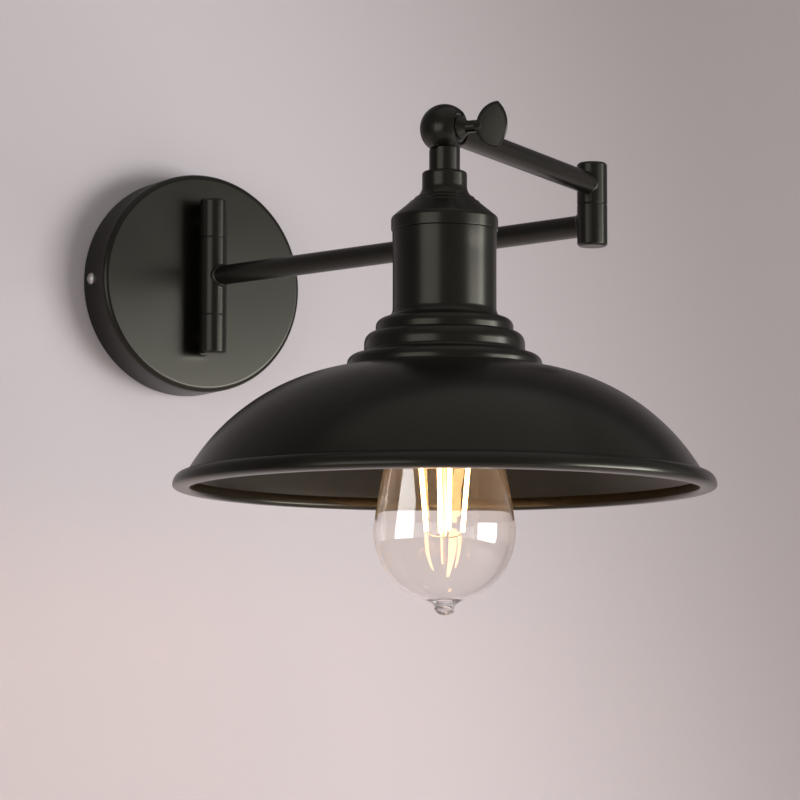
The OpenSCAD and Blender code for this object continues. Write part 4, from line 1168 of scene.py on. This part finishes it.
def world():
    """Plain and pale to the camera and through glass, and dim as a source of light."""
    space = bpy.data.worlds.new("room")
    bpy.context.scene.world = space
    space.use_nodes = True
    tree = space.node_tree
    room = tree.nodes["Background"]
    room.inputs["Color"].default_value = (0.22, 0.212, 0.205, 1)
    sight = tree.nodes.new("ShaderNodeBackground")
    sight.inputs["Color"].default_value = (0.60, 0.56, 0.55, 1)
    rays = tree.nodes.new("ShaderNodeLightPath")
    seen = tree.nodes.new("ShaderNodeMath")
    seen.operation = "MAXIMUM"
    tree.links.new(rays.outputs["Is Camera Ray"], seen.inputs[0])
    tree.links.new(rays.outputs["Is Transmission Ray"], seen.inputs[1])
    look = mixed(tree, seen.outputs["Value"], room.outputs["Background"],
                 sight.outputs["Background"])
    tree.links.new(look, tree.nodes["World Output"].inputs["Surface"])


# The point that the lamps face
LAMP_AT = Vector((-0.062, -0.39, -0.16))


def softbox(name, azimuth, elevation, distance, width, height, power):
    """A soft lamp. Its azimuth goes from the wall's normal toward +X."""
    a, e = math.radians(azimuth), math.radians(elevation)
    out = Vector((math.sin(a) * math.cos(e), -math.cos(a) * math.cos(e), math.sin(e)))
    light = bpy.data.lights.new(name, "AREA")
    light.shape, light.size, light.size_y = "RECTANGLE", width, height
    light.energy = power
    lamp = added(name, light)
    lamp.location = LAMP_AT + out * distance
    lamp.rotation_euler = out.to_track_quat("Z", "Y").to_euler()
    lamp.visible_camera = False


def lights():
    """The key from the right, a small side lamp, a weaker fill and a faint top lamp."""
    softbox("key", azimuth=43, elevation=-2, distance=1.16, width=0.8, height=0.5, power=12.2)
    softbox("side", azimuth=58, elevation=9, distance=2.2, width=0.45, height=0.45, power=3)
    softbox("fill", azimuth=-63, elevation=4, distance=2.2, width=1.6, height=1.2, power=8)
    softbox("top", azimuth=0, elevation=78, distance=2.0, width=2.4, height=2.4, power=2.5)


def camera():
    """The photograph's camera, as it was fitted to the lamp."""
    yaw, pitch, roll = math.radians(29.86), math.radians(6.08), math.radians(0.08)
    eye_at = Vector((-0.88651, -1.78732, -0.27598))
    ahead = Vector((math.sin(yaw) * math.cos(pitch), math.cos(yaw) * math.cos(pitch),
                    math.sin(pitch)))
    right = Vector((math.cos(yaw), -math.sin(yaw), 0))
    above = right.cross(ahead)
    right, above = (math.cos(roll) * right + math.sin(roll) * above,
                    math.cos(roll) * above - math.sin(roll) * right)
    data = bpy.data.cameras.new("photo_view")
    data.sensor_width, data.lens = 36, 163.18
    data.shift_x, data.shift_y = -0.00086, 0.0043
    eye = added("photo_view", data)
    eye.matrix_world = (Matrix.Translation(eye_at)
                        @ Matrix((right, above, -ahead)).transposed().to_4x4())
    bpy.context.scene.camera = eye


cad_nodes()
for build in (canopy, posts, fixed_knuckles, arm_1_sleeve, arm_1_tube, elbow_lower_knuckle,
              elbow_upper_knuckle, elbow_top_plug, arm_2_tube, ball_arm_half, ball_head_half,
              head_stem, holder_cap, holder_cup, lamp_shade, shade_ring, lampholder_body,
              lampholder_shell, bulb_cap, bulb_insulator, bulb_contact, bulb_glass,
              bulb_mount, bulb_wires, bulb_filaments, thumb_screw,
              wall, ground, world, lights, camera):
    build()
bpy.context.scene.view_settings.view_transform = "Standard"
